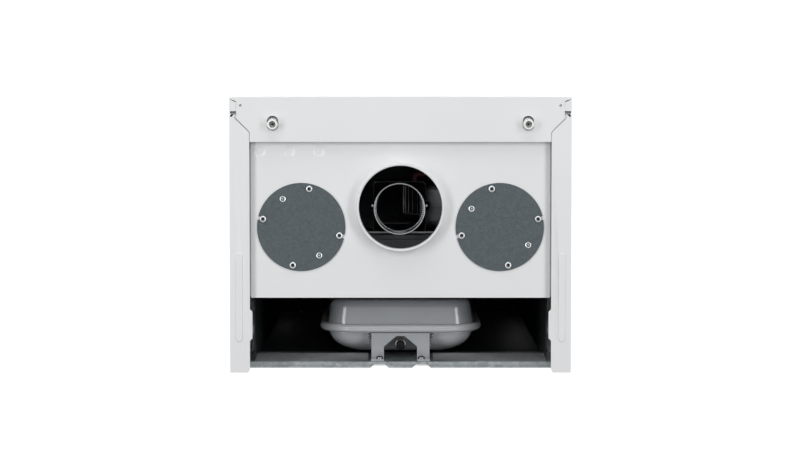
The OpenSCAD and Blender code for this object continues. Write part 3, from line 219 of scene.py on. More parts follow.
# finish of each slot: the material's name, its look, its tones and the look's other values
finishes = {slotName: newMaterial(*values) for slotName, values in {
    "white_enamel": ("whitePowderCoat", powderCoat, "e7e8e9 eaebec"),
    "zinc_sheet": ("galvanisedSheet", galvanised, "767b7c 8b9192 9fa4a5", 5),
    # the web's zinc is a lighter, duller copy of the sheet: painted light for the rail's front web
    "dull_zinc": ("dullGalvanisedSheet", galvanised, "8d9091 9ea2a3 afb3b4", 5, 0.5, 0.12),
    "dark_zinc_sheet": ("darkGalvanisedSheet", galvanised, "30373b 485053 61696e", 1.1, 0.5, 0.45),
    # the fan's steel is darkened to stand in for the shade deep in the flue: painted shade
    "flue_steel": ("stainedFanSteel", galvanised, "3e4144 4a4d50 585b5e", 6, 0.45, 0.5, 0.12),
    "steel": ("platedSteel", drawnMetal, "b9bbbd c9cbcd", 0.26),
    "copper": ("drawnCopper", drawnMetal, "c08562 cf9672", 0.3),
    "brass": ("machinedBrass", drawnMetal, "b79b62 c6ac74", 0.3, (0.4, 0.4, 3)),
    "steel_braid": ("braidedSteelHose", steelBraid, "8d9092 c2c4c6"),
    "vessel_paint": ("greyVesselPaint", glossPaint, "9a9ea2 a2a6aa"),
    "ceramic_fibre": ("ceramicFibreBoard", rawCasting, "d8d3c6 e4e0d5", 0.85, 0.0, 1.6),
    "cast_aluminium": ("dieCastAluminium", rawCasting, "9fa2a4 b2b4b6", 0.42, 0.9),
    "cast_iron": ("paintedCastIron", rawCasting, "35383b 44474b", 0.5, 0.25, 1.6),
    "ceramic": ("glazedCeramic", mouldedPlastic, "dedacd e6e2d8", 0.2, 3, 0.05),
    "white_nylon": ("whiteNylon", mouldedPlastic, "f0f0ee f5f5f3", 0.42),
    "black_plastic": ("blackMouldedPlastic", mouldedPlastic, "26272a 2f3033", 0.5),
    "red_silicone": ("redSilicone", mouldedPlastic, "26090c 300c0f", 0.5, 1.2, 0.1, 0.2),
    "red_plastic": ("redMouldedPlastic", mouldedPlastic, "a8231f b62c27", 0.38),
    "yellow_plastic": ("yellowVinylSleeve", mouldedPlastic, "d9ad1f e2b92c", 0.42),
    "black_rubber": ("blackRubber", mouldedPlastic, "121213 19191b", 0.62, 1.1, 0.3, 0.12),
    "pale_plastic": ("paleGreyPlastic", mouldedPlastic, "d3d5d7 dcdee0", 0.4),
    "dial_white": ("printedDial", mouldedPlastic, "e9e9e7 efefed", 0.3, 2, 0.05),
    "circuit_green": ("circuitLaminate", mouldedPlastic, "1f5a35 27683f", 0.35, 0.9, 0.15),
}.items()}


def dress(piece, finishName):
    # gives every material slot of a piece one finish
    if not piece.data.materials:
        piece.data.materials.append(finishes[finishName])
    for place in piece.material_slots:
        place.material = finishes[finishName]


for name, node in nodes.items():
    dress(node, slotOf[name])
print("materials done")


# pieces made from grids

def joined(meshes):
    # one mesh from several, with the parts given away
    work = bmesh.new()
    for part in meshes:
        work.from_mesh(part)
        bpy.data.meshes.remove(part)
    mesh = bpy.data.meshes.new("joined")
    work.to_mesh(mesh)
    work.free()
    return mesh


def placed(name, mesh, slotName, node=None, body="root", smooth=True, angle=40):
    # puts a mesh, or a list of meshes as one, in the scene, shades it and rides it on its body; with a node's
    # name it stands for that node
    if isinstance(mesh, list):
        mesh = joined(mesh)
    mesh.name = name
    if smooth:
        mesh.shade_smooth()
        mesh.set_sharp_from_angle(angle=math.radians(angle))
    piece = bpy.data.objects.new(name, mesh)
    scene.collection.objects.link(piece)
    dress(piece, slotName)
    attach(piece, body)
    if node:
        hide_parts(node)
    return piece


def meshFrom(points, faces):
    # mesh from points in mm
    mesh = bpy.data.meshes.new("surface")
    mesh.from_pydata((np.asarray(points, float).reshape(-1, 3) * mm).tolist(), [], faces)
    mesh.validate()
    return mesh


def gridFaces(rows, cols, closeRows=False, closeCols=True, start=0):
    # quads of a grid whose points run along each row in turn
    r = np.arange(rows if closeRows else rows - 1)
    c = np.arange(cols if closeCols else cols - 1)
    a, b = (g.ravel() for g in np.meshgrid(r, c, indexing="ij"))
    nextA, nextB = (a + 1) % rows, (b + 1) % cols
    corners = [a * cols + b, a * cols + nextB, nextA * cols + nextB, nextA * cols + b]
    return (np.stack(corners, 1) + start).tolist()


def endFaces(rows, cols):
    # the two faces that cap a grid closed across its columns
    return [list(range(cols)), list(range((rows - 1) * cols, rows * cols))]


def onAxis(profile, centre, axis, turns):
    # points of a turned shape: (radius, height) carried round the axis in equal steps
    turn = fullTurn(turns)
    r, h = np.asarray(profile, float).T
    a, b, c = r[:, None] * np.cos(turn), r[:, None] * np.sin(turn), np.repeat(h[:, None], turns, 1)
    order = {"z": (a, b, c), "y": (b, c, a), "x": (c, a, b)}[axis]
    return np.stack(order, -1) + np.asarray(centre, float)


def marked(mesh, markName, values):
    # stores a value from 0 to 1 at each point, or one for all, which the materials read as painted shade, or
    # as wear and painted light
    layer = mesh.attributes.new(markName, "FLOAT", "POINT")
    layer.data.foreach_set("value", np.float32(values) + np.zeros(len(mesh.vertices), np.float32))
    return mesh


def facedOut(mesh, merge=0.0, fill=False, side=0):
    # merges points nearer than merge, fills the open ends if asked, and turns every face outward; side is the
    # way along Y that an open shell bulges
    work = bmesh.new()
    work.from_mesh(mesh)
    if merge:
        bmesh.ops.remove_doubles(work, verts=work.verts, dist=merge)
    openEdges = [e for e in work.edges if e.is_boundary] if fill else []
    if openEdges:
        bmesh.ops.holes_fill(work, edges=openEdges, sides=0)
    bmesh.ops.recalc_face_normals(work, faces=work.faces)
    if side * sum(f.normal.y for f in work.faces) < 0:
        bmesh.ops.reverse_faces(work, faces=work.faces)
    work.to_mesh(mesh)
    work.free()
    return mesh


def turnedMesh(profile, centre, axis="z", turns=48, paintedShade=()):
    # turned solid whose ends on the axis close it; painted shade values are given for the profile's first
    # points
    points = onAxis(profile, centre, axis, turns)
    mesh = meshFrom(points, gridFaces(len(profile), turns))
    marked(mesh, "paintedShade", np.repeat(np.pad(np.array(paintedShade, float), (0, len(profile) - len(paintedShade))), turns))
    return facedOut(mesh, 1e-6, max(profile[0][0], profile[-1][0]) > 0.01)


def fullTurn(steps):
    # angles of one turn, its end left out
    return np.linspace(0, 2 * np.pi, steps, endpoint=False)


def quarterTurn(steps):
    return np.linspace(0, math.pi / 2, steps)


def unit(rows):
    # each row scaled to length 1
    return rows / np.linalg.norm(rows, axis=-1, keepdims=True)


def roundedPath(points, radius, steps=10):
    # polyline whose inner corners become arcs of the radius
    points = [np.asarray(p, float) for p in points]
    out = [points[0]]
    for before, corner, after in zip(points, points[1:], points[2:]):
        a, b = before - corner, after - corner
        reachA, reachB = np.linalg.norm(a), np.linalg.norm(b)
        a, b = a / reachA, b / reachB
        half = math.acos(max(-1, min(1, float(a @ b)))) / 2
        reach = min(radius / math.tan(half), reachA * 0.49, reachB * 0.49)
        bend = reach * math.tan(half)
        middle = corner + unit(a + b) * bend / math.sin(half)
        start, end = corner + a * reach - middle, corner + b * reach - middle
        whole = math.acos(max(-1, min(1, float(start @ end) / bend ** 2)))
        for t in np.linspace(0, 1, steps + 1):
            shares = math.sin((1 - t) * whole), math.sin(t * whole)
            out.append(middle + (shares[0] * start + shares[1] * end) / math.sin(whole))
    out.append(points[-1])
    return np.array(out)


def sweptMesh(path, radii, sides):
    # tube along a path: each ring is square to the path and turned as little as possible
    path = np.asarray(path, float)
    radii = np.broadcast_to(radii, len(path))
    along = unit(np.gradient(path, axis=0))
    side = unit(np.cross(along[0], (0, 0, 1) if abs(along[0][2]) < 0.9 else (1, 0, 0)))
    turn = fullTurn(sides)[:, None]
    rings = []
    for point, way, radius in zip(path, along, radii):
        side = unit(side - way * (side @ way))
        rings.append(point + radius * (np.cos(turn) * side + np.sin(turn) * np.cross(way, side)))
    faces = gridFaces(len(path), sides) + endFaces(len(path), sides)
    return facedOut(meshFrom(rings, faces))


def stripMesh(path, width, low, high, edge=0.3):
    # flat strip whose section is carried along a path in X and Y, at each point square to it
    path = np.asarray(path, float)
    along = unit(np.gradient(path, axis=0))
    side = np.stack([-along[:, 1], along[:, 0]], -1)
    half = width / 2
    section = [(-half, low), (half, low), (half, high - edge), (half - edge, high), (edge - half, high),
               (-half, high - edge)]
    rows = [np.concatenate([path + side * a, np.full((len(path), 1), z)], 1) for a, z in section]
    faces = gridFaces(len(path), len(section)) + endFaces(len(path), len(section))
    return facedOut(meshFrom(np.stack(rows, 1), faces))


def plateWithHole(xs, ys, hole, centre, low, high, turns=96, power=1 / 7):
    # flat plate: for each angle a point on the hole and one on the superellipse round it
    t = fullTurn(turns)
    bulge = [np.sign(f) * np.abs(f) ** power for f in (np.cos(t), np.sin(t))]
    outX = (xs[0] + xs[1]) / 2 + (xs[1] - xs[0]) / 2 * bulge[0]
    outY = (ys[0] + ys[1]) / 2 + (ys[1] - ys[0]) / 2 * bulge[1]
    inX, inY = centre[0] + hole * np.cos(t), centre[1] + hole * np.sin(t)
    rows = [(inX, inY, low), (inX, inY, high), (outX, outY, high), (outX, outY, low)]
    points = np.array([np.stack([a, b, np.full(turns, c)], -1) for a, b, c in rows])
    return meshFrom(points, gridFaces(4, turns, closeRows=True))


def arc(cx, cy, r, start, end, steps):
    # points of a circle's arc in degrees, end included
    t = np.radians(np.linspace(start, end, steps))
    return [(cx + r * math.cos(a), cy + r * math.sin(a)) for a in t]


def screwDome(x, y, z, r, high):
    # low dome: the height falls from high as a circle's arc does
    steps = (0.3, 0.55, 0.75, 0.9, 0.98, 1.0)
    profile = [(0.0, high)] + [(r * s, high * math.sqrt(max(0.0, 1 - s ** 2.2))) for s in steps]
    return turnedMesh(profile, (x, y, z), turns=20)


def softenedCopy(nodeName, edgeMm, angle, marks):
    # copy of a frame node with merged corners and rounded edges; marks gives painted shade, or wear and
    # painted light, for each point
    work = bmesh.new()
    work.from_mesh(nodes[nodeName].data)
    bmesh.ops.remove_doubles(work, verts=work.verts, dist=2e-6)
    bmesh.ops.dissolve_limit(work, angle_limit=math.radians(0.6), verts=work.verts, edges=work.edges)
    mesh = bpy.data.meshes.new("soft")
    work.to_mesh(mesh)
    work.free()
    if marks:
        markName, valueAt = marks
        points = np.empty(len(mesh.vertices) * 3)
        mesh.vertices.foreach_get("co", points)
        marked(mesh, markName, valueAt(points.reshape(-1, 3) / mm))
    body, sharp = bodyOf[nodeName], min(30, angle + 2)
    piece = placed(nodeName + "Soft", mesh, slotOf[nodeName], nodeName, body, angle=sharp)
    bevel = piece.modifiers.new("edges", "BEVEL")
    bevel.width, bevel.segments, bevel.limit_method = edgeMm * mm, 2, "ANGLE"
    bevel.angle_limit = math.radians(angle)
    bevel.harden_normals = True
    return piece


def thickened(piece, thickMm, offset):
    # sheet metal: the surface is given a thickness
    sheet = piece.modifiers.new("sheet", "SOLIDIFY")
    sheet.thickness, sheet.offset = thickMm * mm, offset


print("helpers done")

# flue: collar, spigot, fan scroll, wheel and hose; all sizes in mm

flue = dict(x=0.0, y=-199.0, bore=50.0, wall=3.0, foot=36.0, seat=40.0, lip=50.5, fillet=1.2)


def makeCollar(x, y, bore, wall, foot, seat, lip, fillet):
    # rolled lip of radius wall / 2, a straight throat, and a small fillet to the chamber top
    r, outside = wall / 2, bore + wall
    profile = [(bore, foot), (bore, lip)] + arc(bore + r, lip, r, 180, 0, 9) + [(outside, seat + fillet)]
    profile += arc(outside + fillet, seat + fillet, fillet, 180, 268, 5)[1:]
    profile += [(outside + fillet, seat), (outside, seat), (outside, foot), (bore, foot)]
    collar = turnedMesh(profile, (x, y, 0), turns=128)
    placed("flueCollar", collar, "white_enamel", "flue_collar")


makeCollar(**flue)

spigot = dict(x=1.2, y=-196.4, radius=30.9, wall=0.8, foot=4.0, top=31.8, sheet=1.2, plateX=(-30.1, 32.5),
              plateY=(-227.9, -164.9), lipX=(-40.8, 40.2), lipWidth=2.4, beads=84, bead=0.35,
              bandDrops=(3.5, 4.2, 7.2, 7.9), ears=((34.2, -199.0), (-31.8, -199.0)), earX=3.4, earY=5.0,
              earHole=1.6, screw=1.9)


def makeSpigot(x, y, radius, wall, foot, top, sheet, plateX, plateY, lipX, lipWidth, beads, bead, bandDrops,
               ears, earX, earY, earHole, screw):
    # thin duct with a rolled lip and, inside, a knurled band whose radius swings with the cosine of the angle
    inner, seat = radius - wall, foot + sheet
    profile = [(inner, foot), (inner, top - 0.6)] + arc(inner + wall / 2, top - wall / 2, wall / 2, 180, 0, 6)
    profile += [(radius, top - 5), (radius, foot), (inner, foot)]
    duct = turnedMesh(profile, (x, y, 0), turns=96)
    turn = fullTurn(beads * 4)
    levels = np.repeat(top - np.array(bandDrops)[:, None], len(turn), 1)
    r = inner - 0.02 - np.array([0.0, bead, bead, 0.0])[:, None] * (1.15 + np.cos(turn * beads))
    rows = np.stack([x + r * np.cos(turn), y + r * np.sin(turn), levels], -1)
    band = marked(meshFrom(rows[::-1], gridFaces(4, len(turn))), "paintedShade", 0.0)
    placed("flueSpigot", [duct, band], "steel", "flue_spigot")
    # flange with an ear at either side, all darkened with painted shade, and a lip along its rear edge made
    # paler as a painted highlight
    parts = [plateWithHole(plateX, plateY, radius + 0.3, (x, y), foot, seat)]
    lipY = plateY[1] - 1.7
    lip = stripMesh([(lipX[0], lipY), (lipX[1], lipY)], lipWidth, seat + 0.05, seat + 0.9)
    for ex, ey in ears:
        earXs, earYs = (ex - earX, ex + earX), (ey - earY, ey + earY)
        parts.append(plateWithHole(earXs, earYs, earHole, (ex, ey), foot, seat, 24))
    for part in parts:
        marked(part, "paintedShade", 1.0)
    parts.insert(1, marked(lip, "wearAndPaintedLight", 0.5))
    placed("spigotFlange", parts, "flue_steel")
    placed("spigotScrews", [screwDome(ex, ey, seat, screw, sheet) for ex, ey in ears], "steel")


makeSpigot(**spigot)

outletRing = dict(x=1.2, y=-197.2, z=10.0, radius=29.4, beads=72, wire=0.4)


def makeOutletBeads(x, y, z, radius, beads, wire, sides=8):
    # knurled ring deep in the outlet: the wire's radius swings with the cosine of the angle round it, and
    # painted shade darkens it between the beads
    turn = fullTurn(beads * 4)[:, None]
    around = fullTurn(sides)
    thick = wire * (0.55 + 0.45 * np.cos(turn * beads))
    r = radius - wire + thick * np.cos(around)
    points = np.stack([x + r * np.cos(turn), y + r * np.sin(turn), z + thick * np.sin(around)], -1)
    faces = gridFaces(len(turn), sides, closeRows=True)
    mesh = facedOut(meshFrom(points, faces))
    marked(mesh, "paintedShade", np.repeat(0.45 - 0.45 * np.cos(turn[:, 0] * beads), sides))
    placed("outletBeads", mesh, "steel")


makeOutletBeads(**outletRing)

scroll = dict(axisX=-52.5, axisZ=-60.0, tongueRadius=56.0, outRadius=84.2, tongueAngle=60.0, wall=1.0,
              seam=-199.0, bend=9.0, outletX=(-30.3, 32.7), outletCorner=3.0,
              outletLevels=(-45.0, 2.0, 4.0))
scrollHalves = {"scrollFrontHalf": ("fan_scroll_front", -1, -224.0, -227.9, 16.0),
                "scrollRearHalf": ("fan_scroll_rear", 1, -174.0, -164.9, 37.0)}


def makeScrollHalf(name, node, side, face, end, hole, s):
    # pressed half: (depth, growth) of a seam flange, a wall, a rounded edge and a flat face in to the hole
    seam, bend = s["seam"], s["bend"]
    flange = (0, 0.2), (0, 5.0), (1.0, 5.0), (1.2, 1.4), (2.2, 1.0)
    sections = [(seam + side * a, grow) for a, grow in flange]
    quarter = quarterTurn(7)
    sections += [(face + side * bend * (math.sin(t) - 1), 1.0 + bend * (math.cos(t) - 1)) for t in quarter]
    # the radius grows evenly from the tongue round to the outlet
    angles = np.linspace(s["tongueAngle"], 360, 72)
    share = (angles - s["tongueAngle"]) / (360 - s["tongueAngle"])
    radii = s["tongueRadius"] + (s["outRadius"] - s["tongueRadius"]) * share
    cosine, sine = np.cos(np.radians(angles)), np.sin(np.radians(angles))
    # inside the outlet box the seam's flange shrinks to the wall
    boxed = (s["axisX"] + radii * cosine > s["outletX"][0] + s["wall"]) & (angles < 180)
    rings = [(radii + np.where(boxed, min(grow, 1.0), grow), y) for y, grow in sections]
    edge = radii + sections[-1][1]
    rings += [(edge * (1 - share) + hole * share, face) for share in (0.35, 0.7, 1.0)]
    points = [np.stack([s["axisX"] + r * cosine, np.full(len(r), y), s["axisZ"] + r * sine], -1)
              for r, y in rings]
    shell = marked(meshFrom(points, gridFaces(len(rings), len(angles), closeCols=False)), "wearAndPaintedLight", 0.12)
    # outlet box: front or back wall with rounded corners, and half of each side wall
    (x0, x1), c = s["outletX"], s["outletCorner"]
    quarter = quarterTurn(5)
    path = [(x0, seam)] + [(x0 + c - c * math.cos(t), end + side * c * (math.sin(t) - 1)) for t in quarter]
    path += [(x1 - c + c * math.sin(t), end + side * c * (math.cos(t) - 1)) for t in quarter] + [(x1, seam)]
    levels = s["outletLevels"]
    walls = [np.insert(path, 2, z, -1) for z in levels]
    box = meshFrom(walls, gridFaces(len(levels), len(path), closeCols=False))
    thickened(placed(name, facedOut(joined([shell, box])), "flue_steel", node), s["wall"], 0)


for name, half in scrollHalves.items():
    makeScrollHalf(name, *half, scroll)

wheel = dict(x=-52.5, z=-60.0, y0=-222.0, length=36.0, radius=50.0, blades=36, depth=9.0, lean=0.24,
             shaft=4.0, hub=10.0, ring=1.6, web=1.2)


def makeWheel(x, z, y0, length, radius, blades, depth, lean, shaft, hub, ring, web):
    # forward-curved blades: each is an arc in section, swept along the shaft; its faces are darkened with
    # painted shade, and its cut edge is bare metal with a painted highlight
    across = np.array([0, 0.2, 0.45, 0.7, 0.95, 0.96, 1.0])
    r = radius - 0.6 - depth * (1 - across)
    ends = (y0 + 1.0, y0 + length - 1.0)
    points, faces = [], []
    for i in range(blades):
        turn = 2 * math.pi * i / blades + lean * (1 - across) ** 1.6
        for y in ends:
            points.append(np.stack([x + r * np.cos(turn), np.full(len(r), y), z + r * np.sin(turn)], -1))
        faces += gridFaces(len(ends), len(across), closeCols=False, start=i * len(ends) * len(across))
    mesh = meshFrom(points, faces)
    cut = across > 0.955
    marked(mesh, "wearAndPaintedLight", np.tile(np.where(cut, 0.8, 0.0), len(ends) * blades))
    marked(mesh, "paintedShade", np.tile(np.where(cut, 0.0, 0.97), len(ends) * blades))
    parts = [mesh]
    for y in (y0, y0 + length - ring):
        rows = [(radius - 10, y), (radius - 10, y + ring), (radius - 0.8, y + ring), (radius, y + ring / 2),
                (radius - 0.8, y), (radius - 10, y)]
        parts.append(turnedMesh(rows, (x, 0, z), "y", 72))
    rows = [(shaft, y0), (radius - 9, y0), (radius - 9, y0 + web), (hub + 2, y0 + web), (hub, y0 + 3),
            (hub, y0 + 14), (shaft, y0 + 14)]
    parts.append(turnedMesh(rows, (x, 0, z), "y", 48))
    rows = [(0, y0 - 28), (shaft, y0 - 28), (shaft, y0 + 15.4), (shaft - 0.6, y0 + 16), (0, y0 + 16)]
    parts.append(turnedMesh(rows, (x, 0, z), "y", 32))
    placed("fanWheel", parts, "flue_steel", "fan_wheel", "fan")


makeWheel(**wheel)

hose = dict(start=(-18, -227.4, -8), out=10.0, switchX=-158.8, end=-32.0, radius=4.5, bend=12.0)


def makeHose(start, out, switchX, end, radius, bend):
    # soft hose: straight out of the tap, round to the switch and down on to its nipple
    corner = (start[0], start[1] - out, start[2])
    path = roundedPath([start, corner, (switchX, corner[1], start[2]), (switchX, corner[1], end)], bend)
    tube = sweptMesh(path, radius, 24)
    placed("pressureHose", tube, "red_silicone", "pressure_hose")


makeHose(**hose)
print("flue and fan done")

# expansion vessel

vessel = dict(seamY=-44.5, midZ=-277.0, width=203.0, height=490.0, rim=5.0, groove=5.9, corner=52.0,
              domeCorner=30.0, sheet=1.5)
vesselHalves = dict(
    vesselFrontHalf=dict(node="vessel_front_half", side=-1, depth=34.6, draft=2.6, bend=(11.0, 9.5),
                         crown=0.4, rubbed=0.0),
    vesselRearHalf=dict(node="vessel_rear_half", side=1, depth=34.0, draft=1.6, bend=(52.0, 28.0),
                        crown=0.8, rubbed=0.6))


def roundedOutline(halfW, halfH, corner, steps=16, sideSteps=10):
    # rounded rectangle, run anticlockwise, with points along its straight sides too
    corner = max(corner, 0.5)
    corners = []
    for k, (sx, sz) in enumerate(((1, 1), (-1, 1), (-1, -1), (1, -1))):
        t = np.radians(90 * k + np.linspace(0, 90, steps))
        x, z = sx * (halfW - corner) + corner * np.cos(t), sz * (halfH - corner) + corner * np.sin(t)
        corners.append(np.stack([x, z], -1))
    out = []
    for k in range(4):
        a, b = corners[k][-1], corners[(k + 1) % 4][0]
        out += [corners[k], a + (b - a) * np.linspace(0, 1, sideSteps + 2)[1:-1, None]]
    return np.concatenate(out)


def makeVesselHalf(name, v, node, side, depth, draft, bend, crown, rubbed):
    # profile of (inset, depth) carried round the outline: half of the rolled seam, a groove, a wall with
    # some draft, a quarter of an ellipse, then a faintly crowned face
    rim, start = v["rim"], v["rim"] + v["groove"]
    foot, wallTop = rim * 1.3, depth - crown - bend[1]
    seam = [(rim - rim * math.cos(t), rim * math.sin(t)) for t in quarterTurn(7)]
    groove = [(rim + a, rim * b) for a, b in ((2.6, 0.96), (3.8, 0.8), (4.8, 0.74), (5.5, 0.84), (5.8, 1.1))]
    wall = [(start + draft * s, foot + (wallTop - foot) * s) for s in (0.0, 0.35, 0.7, 1.0)]
    turned = [(start + draft + bend[0] * (1 - math.cos(t)), wallTop + bend[1] * math.sin(t))
              for t in quarterTurn(10)[1:]]
    rings = []
    for inset, deep in seam + groove + wall + turned:
        # the corner tightens from the seam's to the dome's across the groove
        share = min(1.0, max(0.0, (inset - rim) / v["groove"]))
        seamCorner = v["corner"] - inset
        domeCorner = max(3.0, v["domeCorner"] - max(0.0, inset - start) * 0.6)
        corner = seamCorner + (domeCorner - seamCorner) * share
        x, z = roundedOutline(v["width"] / 2 - inset, v["height"] / 2 - inset, corner).T
        rings.append(np.stack([x, np.full(len(x), v["seamY"] + side * deep), v["midZ"] + z], -1))
    last, centre = rings[-1], np.array([0, v["seamY"] + side * depth, v["midZ"]])
    rings += [last * (1 - share) + centre * share for share in (0.4, 0.8)]
    count, rows = len(last), len(rings)
    tail = (rows - 1) * count
    fan = [[tail + i, tail + (i + 1) % count, rows * count] for i in range(count)]
    mesh = meshFrom(np.concatenate(rings + [centre[None]]), gridFaces(rows, count) + fan)
    # a painted sheen makes the seam brighter than the rest, fading into the groove, and painted light makes
    # the rear half paler
    wearAndPaintedLight = [1.0] * len(seam) + [0.5, 0.2]
    wearAndPaintedLight += [rubbed] * (rows - len(wearAndPaintedLight))
    marked(mesh, "wearAndPaintedLight", np.append(np.repeat(wearAndPaintedLight, count), 0.0))
    thickened(placed(name, facedOut(mesh, side=side), "vessel_paint", node, angle=60), v["sheet"], -1)


# weld beads beside the bracket's feet, and the charging valve with its nut under a rubber cap
welds = dict(x=39.2, ys=(-38.3, -24.5), z=-42.9, radius=1.9, lumps=5, sides=12)
valve = dict(x=0.0, y=-25.0, foot=-58.0, nut=(-42.0, -37.0), nutRadius=6.7, stem=4.8, capFoot=-36.6,
             capTop=-22.6, cap=5.4, nutShade=0.86)


def makeWelds(x, ys, z, radius, lumps, sides):
    # bead along a line: its radius swings with the cosine of the distance, as a row of puddles does; each
    # crest gets a painted highlight and each dip painted shade
    t = np.linspace(0, 1, lumps * 6 + 1)
    swing = np.cos(2 * np.pi * lumps * t)
    thick = radius * (0.78 + 0.22 * swing)
    thick[[0, -1]] = radius * 0.3
    crest = np.repeat(swing, sides)
    beads = []
    for s in (-1, 1):
        wander = s * (x + 0.35 * np.sin(t * 9 + s)), ys[0] + (ys[1] - ys[0]) * t, z + 0.2 * np.sin(t * 13)
        bead = sweptMesh(np.stack(wander, -1), thick, sides)
        marked(bead, "wearAndPaintedLight", np.clip(crest, 0, 1))
        beads.append(marked(bead, "paintedShade", np.clip(-crest, 0, 1) * 0.8))
    placed("bracketWelds", beads, "vessel_paint")


def makeValve(x, y, foot, nut, nutRadius, stem, capFoot, capTop, cap, nutShade):
    # the nut is round here with a bevel top and bottom; it and the stem are darkened with painted shade
    low, high = nut
    rows = [(0.0, foot), (stem, foot), (stem, low), (nutRadius - 0.7, low), (nutRadius, low + 0.7),
            (nutRadius, high - 0.9), (nutRadius - 1.4, high), (stem, high), (stem, capFoot + 3),
            (0.0, capFoot + 3)]
    body = turnedMesh(rows, (x, y, 0), turns=36, paintedShade=[nutShade] * len(rows))
    placed("vesselValve", body, "steel", "vessel_valve")
    rows = [(0.0, capFoot + 4), (cap - 1, capFoot + 4), (cap - 1, capFoot), (cap, capFoot),
            (cap, capFoot + 2), (cap - 0.4, capFoot + 2.4), (cap - 0.4, capTop - 2.2),
            (cap - 1.2, capTop - 0.6), (cap - 2.6, capTop), (0.0, capTop)]
    rubber = turnedMesh(rows, (x, y, 0), turns=32)
    placed("vesselValveCap", rubber, "black_rubber", "vessel_valve_cap")


makeWelds(**welds)
makeValve(**valve)
for name, half in vesselHalves.items():
    makeVesselHalf(name, vessel, **half)
print("vessel done")

# screws, pins and plates on the top

blanks = dict(x=119.4, y=-175.0, top=41.2, domedPcd=94.0, domedAngles=(-102, -12, 167.5, 77.5), flatPcd=81.0,
              flatAngles={-1: (-147, 32.3), 1: (-56.8, 122.3)})


def domedScrew(x, y, z):
    # button head: a bright rounded rim round a deep recess darkened with painted shade
    profile = [(0.0, 0.5), (1.4, 0.5), (1.7, 0.7), (1.85, 1.9), (2.2, 2.4), (2.9, 2.5), (3.6, 2.1),
               (4.1, 1.3), (4.3, 0.4), (4.3, 0.0), (2.1, 0.0), (2.1, -7.0), (0.0, -7.0)]
    return turnedMesh(profile, (x, y, z), turns=32, paintedShade=[0.95, 0.95, 0.95, 0.7, 0.1])


def flatScrew(x, y, z):
    # low head: a bright rim, a dish darkened with painted shade, and a small raised centre
    profile = [(0.0, 0.75), (0.5, 0.7), (0.9, 0.35), (2.2, 0.3), (2.5, 0.75), (3.0, 0.9), (3.4, 0.7),
               (3.6, 0.2), (3.6, 0.0), (1.8, 0.0), (1.8, -6.0), (0.0, -6.0)]
    return turnedMesh(profile, (x, y, z), turns=32, paintedShade=[0.3, 0.4, 0.8, 0.8, 0.35])


def makeBlankingScrews(x, y, top, domedPcd, domedAngles, flatPcd, flatAngles):
    # every screw stands at its angle on a pitch circle, which is mirrored for the other plate
    heads = []
    for s in (-1, 1):
        kinds = (domedScrew, domedPcd, domedAngles), (flatScrew, flatPcd, flatAngles[s])
        for makeHead, pcd, angles in kinds:
            for a in np.radians(angles):
                heads.append(makeHead(s * (x + pcd / 2 * math.cos(a)), y + pcd / 2 * math.sin(a), top))
    placed("blankingScrews", heads, "steel", "blanking_screws")


makeBlankingScrews(**blanks)

pins = dict(x=153.0, y=-298.5, foot=40.0, seat=46.5, base=9.0, radius=6.3, bore=3.9, top=58.0,
            boreFloor=47.0, hole=2.0)


def makePins(x, y, foot, seat, base, radius, bore, top, boreFloor, hole):
    # nylon bush: broad foot, fillet, rounded top edge and an open bore
    profile = [(hole, foot), (base, foot), (base, foot + 2.2), (radius + 1, seat - 2), (radius, seat - 1.4)]
    profile += arc(radius - 1.2, top - 1.2, 1.2, 0, 90, 5) + arc(bore + 0.6, top - 0.6, 0.6, 90, 180, 4)
    profile += [(bore, boreFloor), (hole, boreFloor), (hole, foot)]
    bushes = [turnedMesh(profile, (s * x, y, 0)) for s in (-1, 1)]
    placed("casingPins", bushes, "white_nylon", "casing_pins")


makePins(**pins)

housing = dict(
    coverSpots=[(171.0, z) for z in (-365.0, -238.33, -111.67, 15.0)] + [(60.0, 32.0)], coverY=-313.2,
    coverHead=dict(r=4.0, high=2.3, shank=1.9, reach=8.0), bracketSpot=(25.7, -10.0, -14.5),
    bracketHead=dict(r=4.3, high=2.9, shank=2.4, reach=4.0, headShade=0.7), pinSpot=(153.0, -298.5, 47.2),
    pinReach=15.0)


def panHead(x, y, z, r, high, shank, reach, headShade=0.0):
    # pan head that looks forward, its cross recess seen as a round hollow darkened with painted shade; a
    # further amount of painted shade can darken the whole head
    profile = [(0.0, high * 0.35), (r * 0.3, high * 0.35), (r * 0.42, high * 0.9), (r * 0.55, high),
               (r * 0.8, high * 0.86), (r * 0.96, high * 0.45), (r, 0.1), (r, 0.0), (shank, 0.0),
               (shank, -reach), (0.0, -reach)]
    paintedShade = np.pad([0.9, 0.9, 0.75, 0.1], (0, len(profile) - 4)) + headShade
    return turnedMesh([(a, y - b) for a, b in profile], (x, 0, z), "y", 28, np.clip(paintedShade, 0, 1))


def makeHousingScrews(coverSpots, coverY, coverHead, bracketSpot, bracketHead, pinSpot, pinReach):
    # screws of the chamber's cover, of the vessel's bracket, and sunk in the nylon pins; the bracket's heads
    # and the pins' screws are darkened with painted shade
    heads = [panHead(s * x, coverY, z, **coverHead) for x, z in coverSpots for s in (-1, 1)]
    x, y, z = bracketSpot
    heads += [panHead(s * x, y, z, **bracketHead) for s in (-1, 1)]
    x, y, z = pinSpot
    rows = [(0.0, 0.5), (0.9, 0.5), (1.5, 1.3), (3.0, 1.5), (3.6, 1.0), (3.6, 0.0), (2.0, 0.0),
            (2.0, -pinReach), (0.0, -pinReach)]
    heads += [turnedMesh(rows, (s * x, y, z), turns=28, paintedShade=[0.95, 0.95, 0.75, 0.6, 0.7])
              for s in (-1, 1)]
    placed("housingScrews", heads, "steel", "housing_screws")


makeHousingScrews(**housing)
print("screws and pins done")
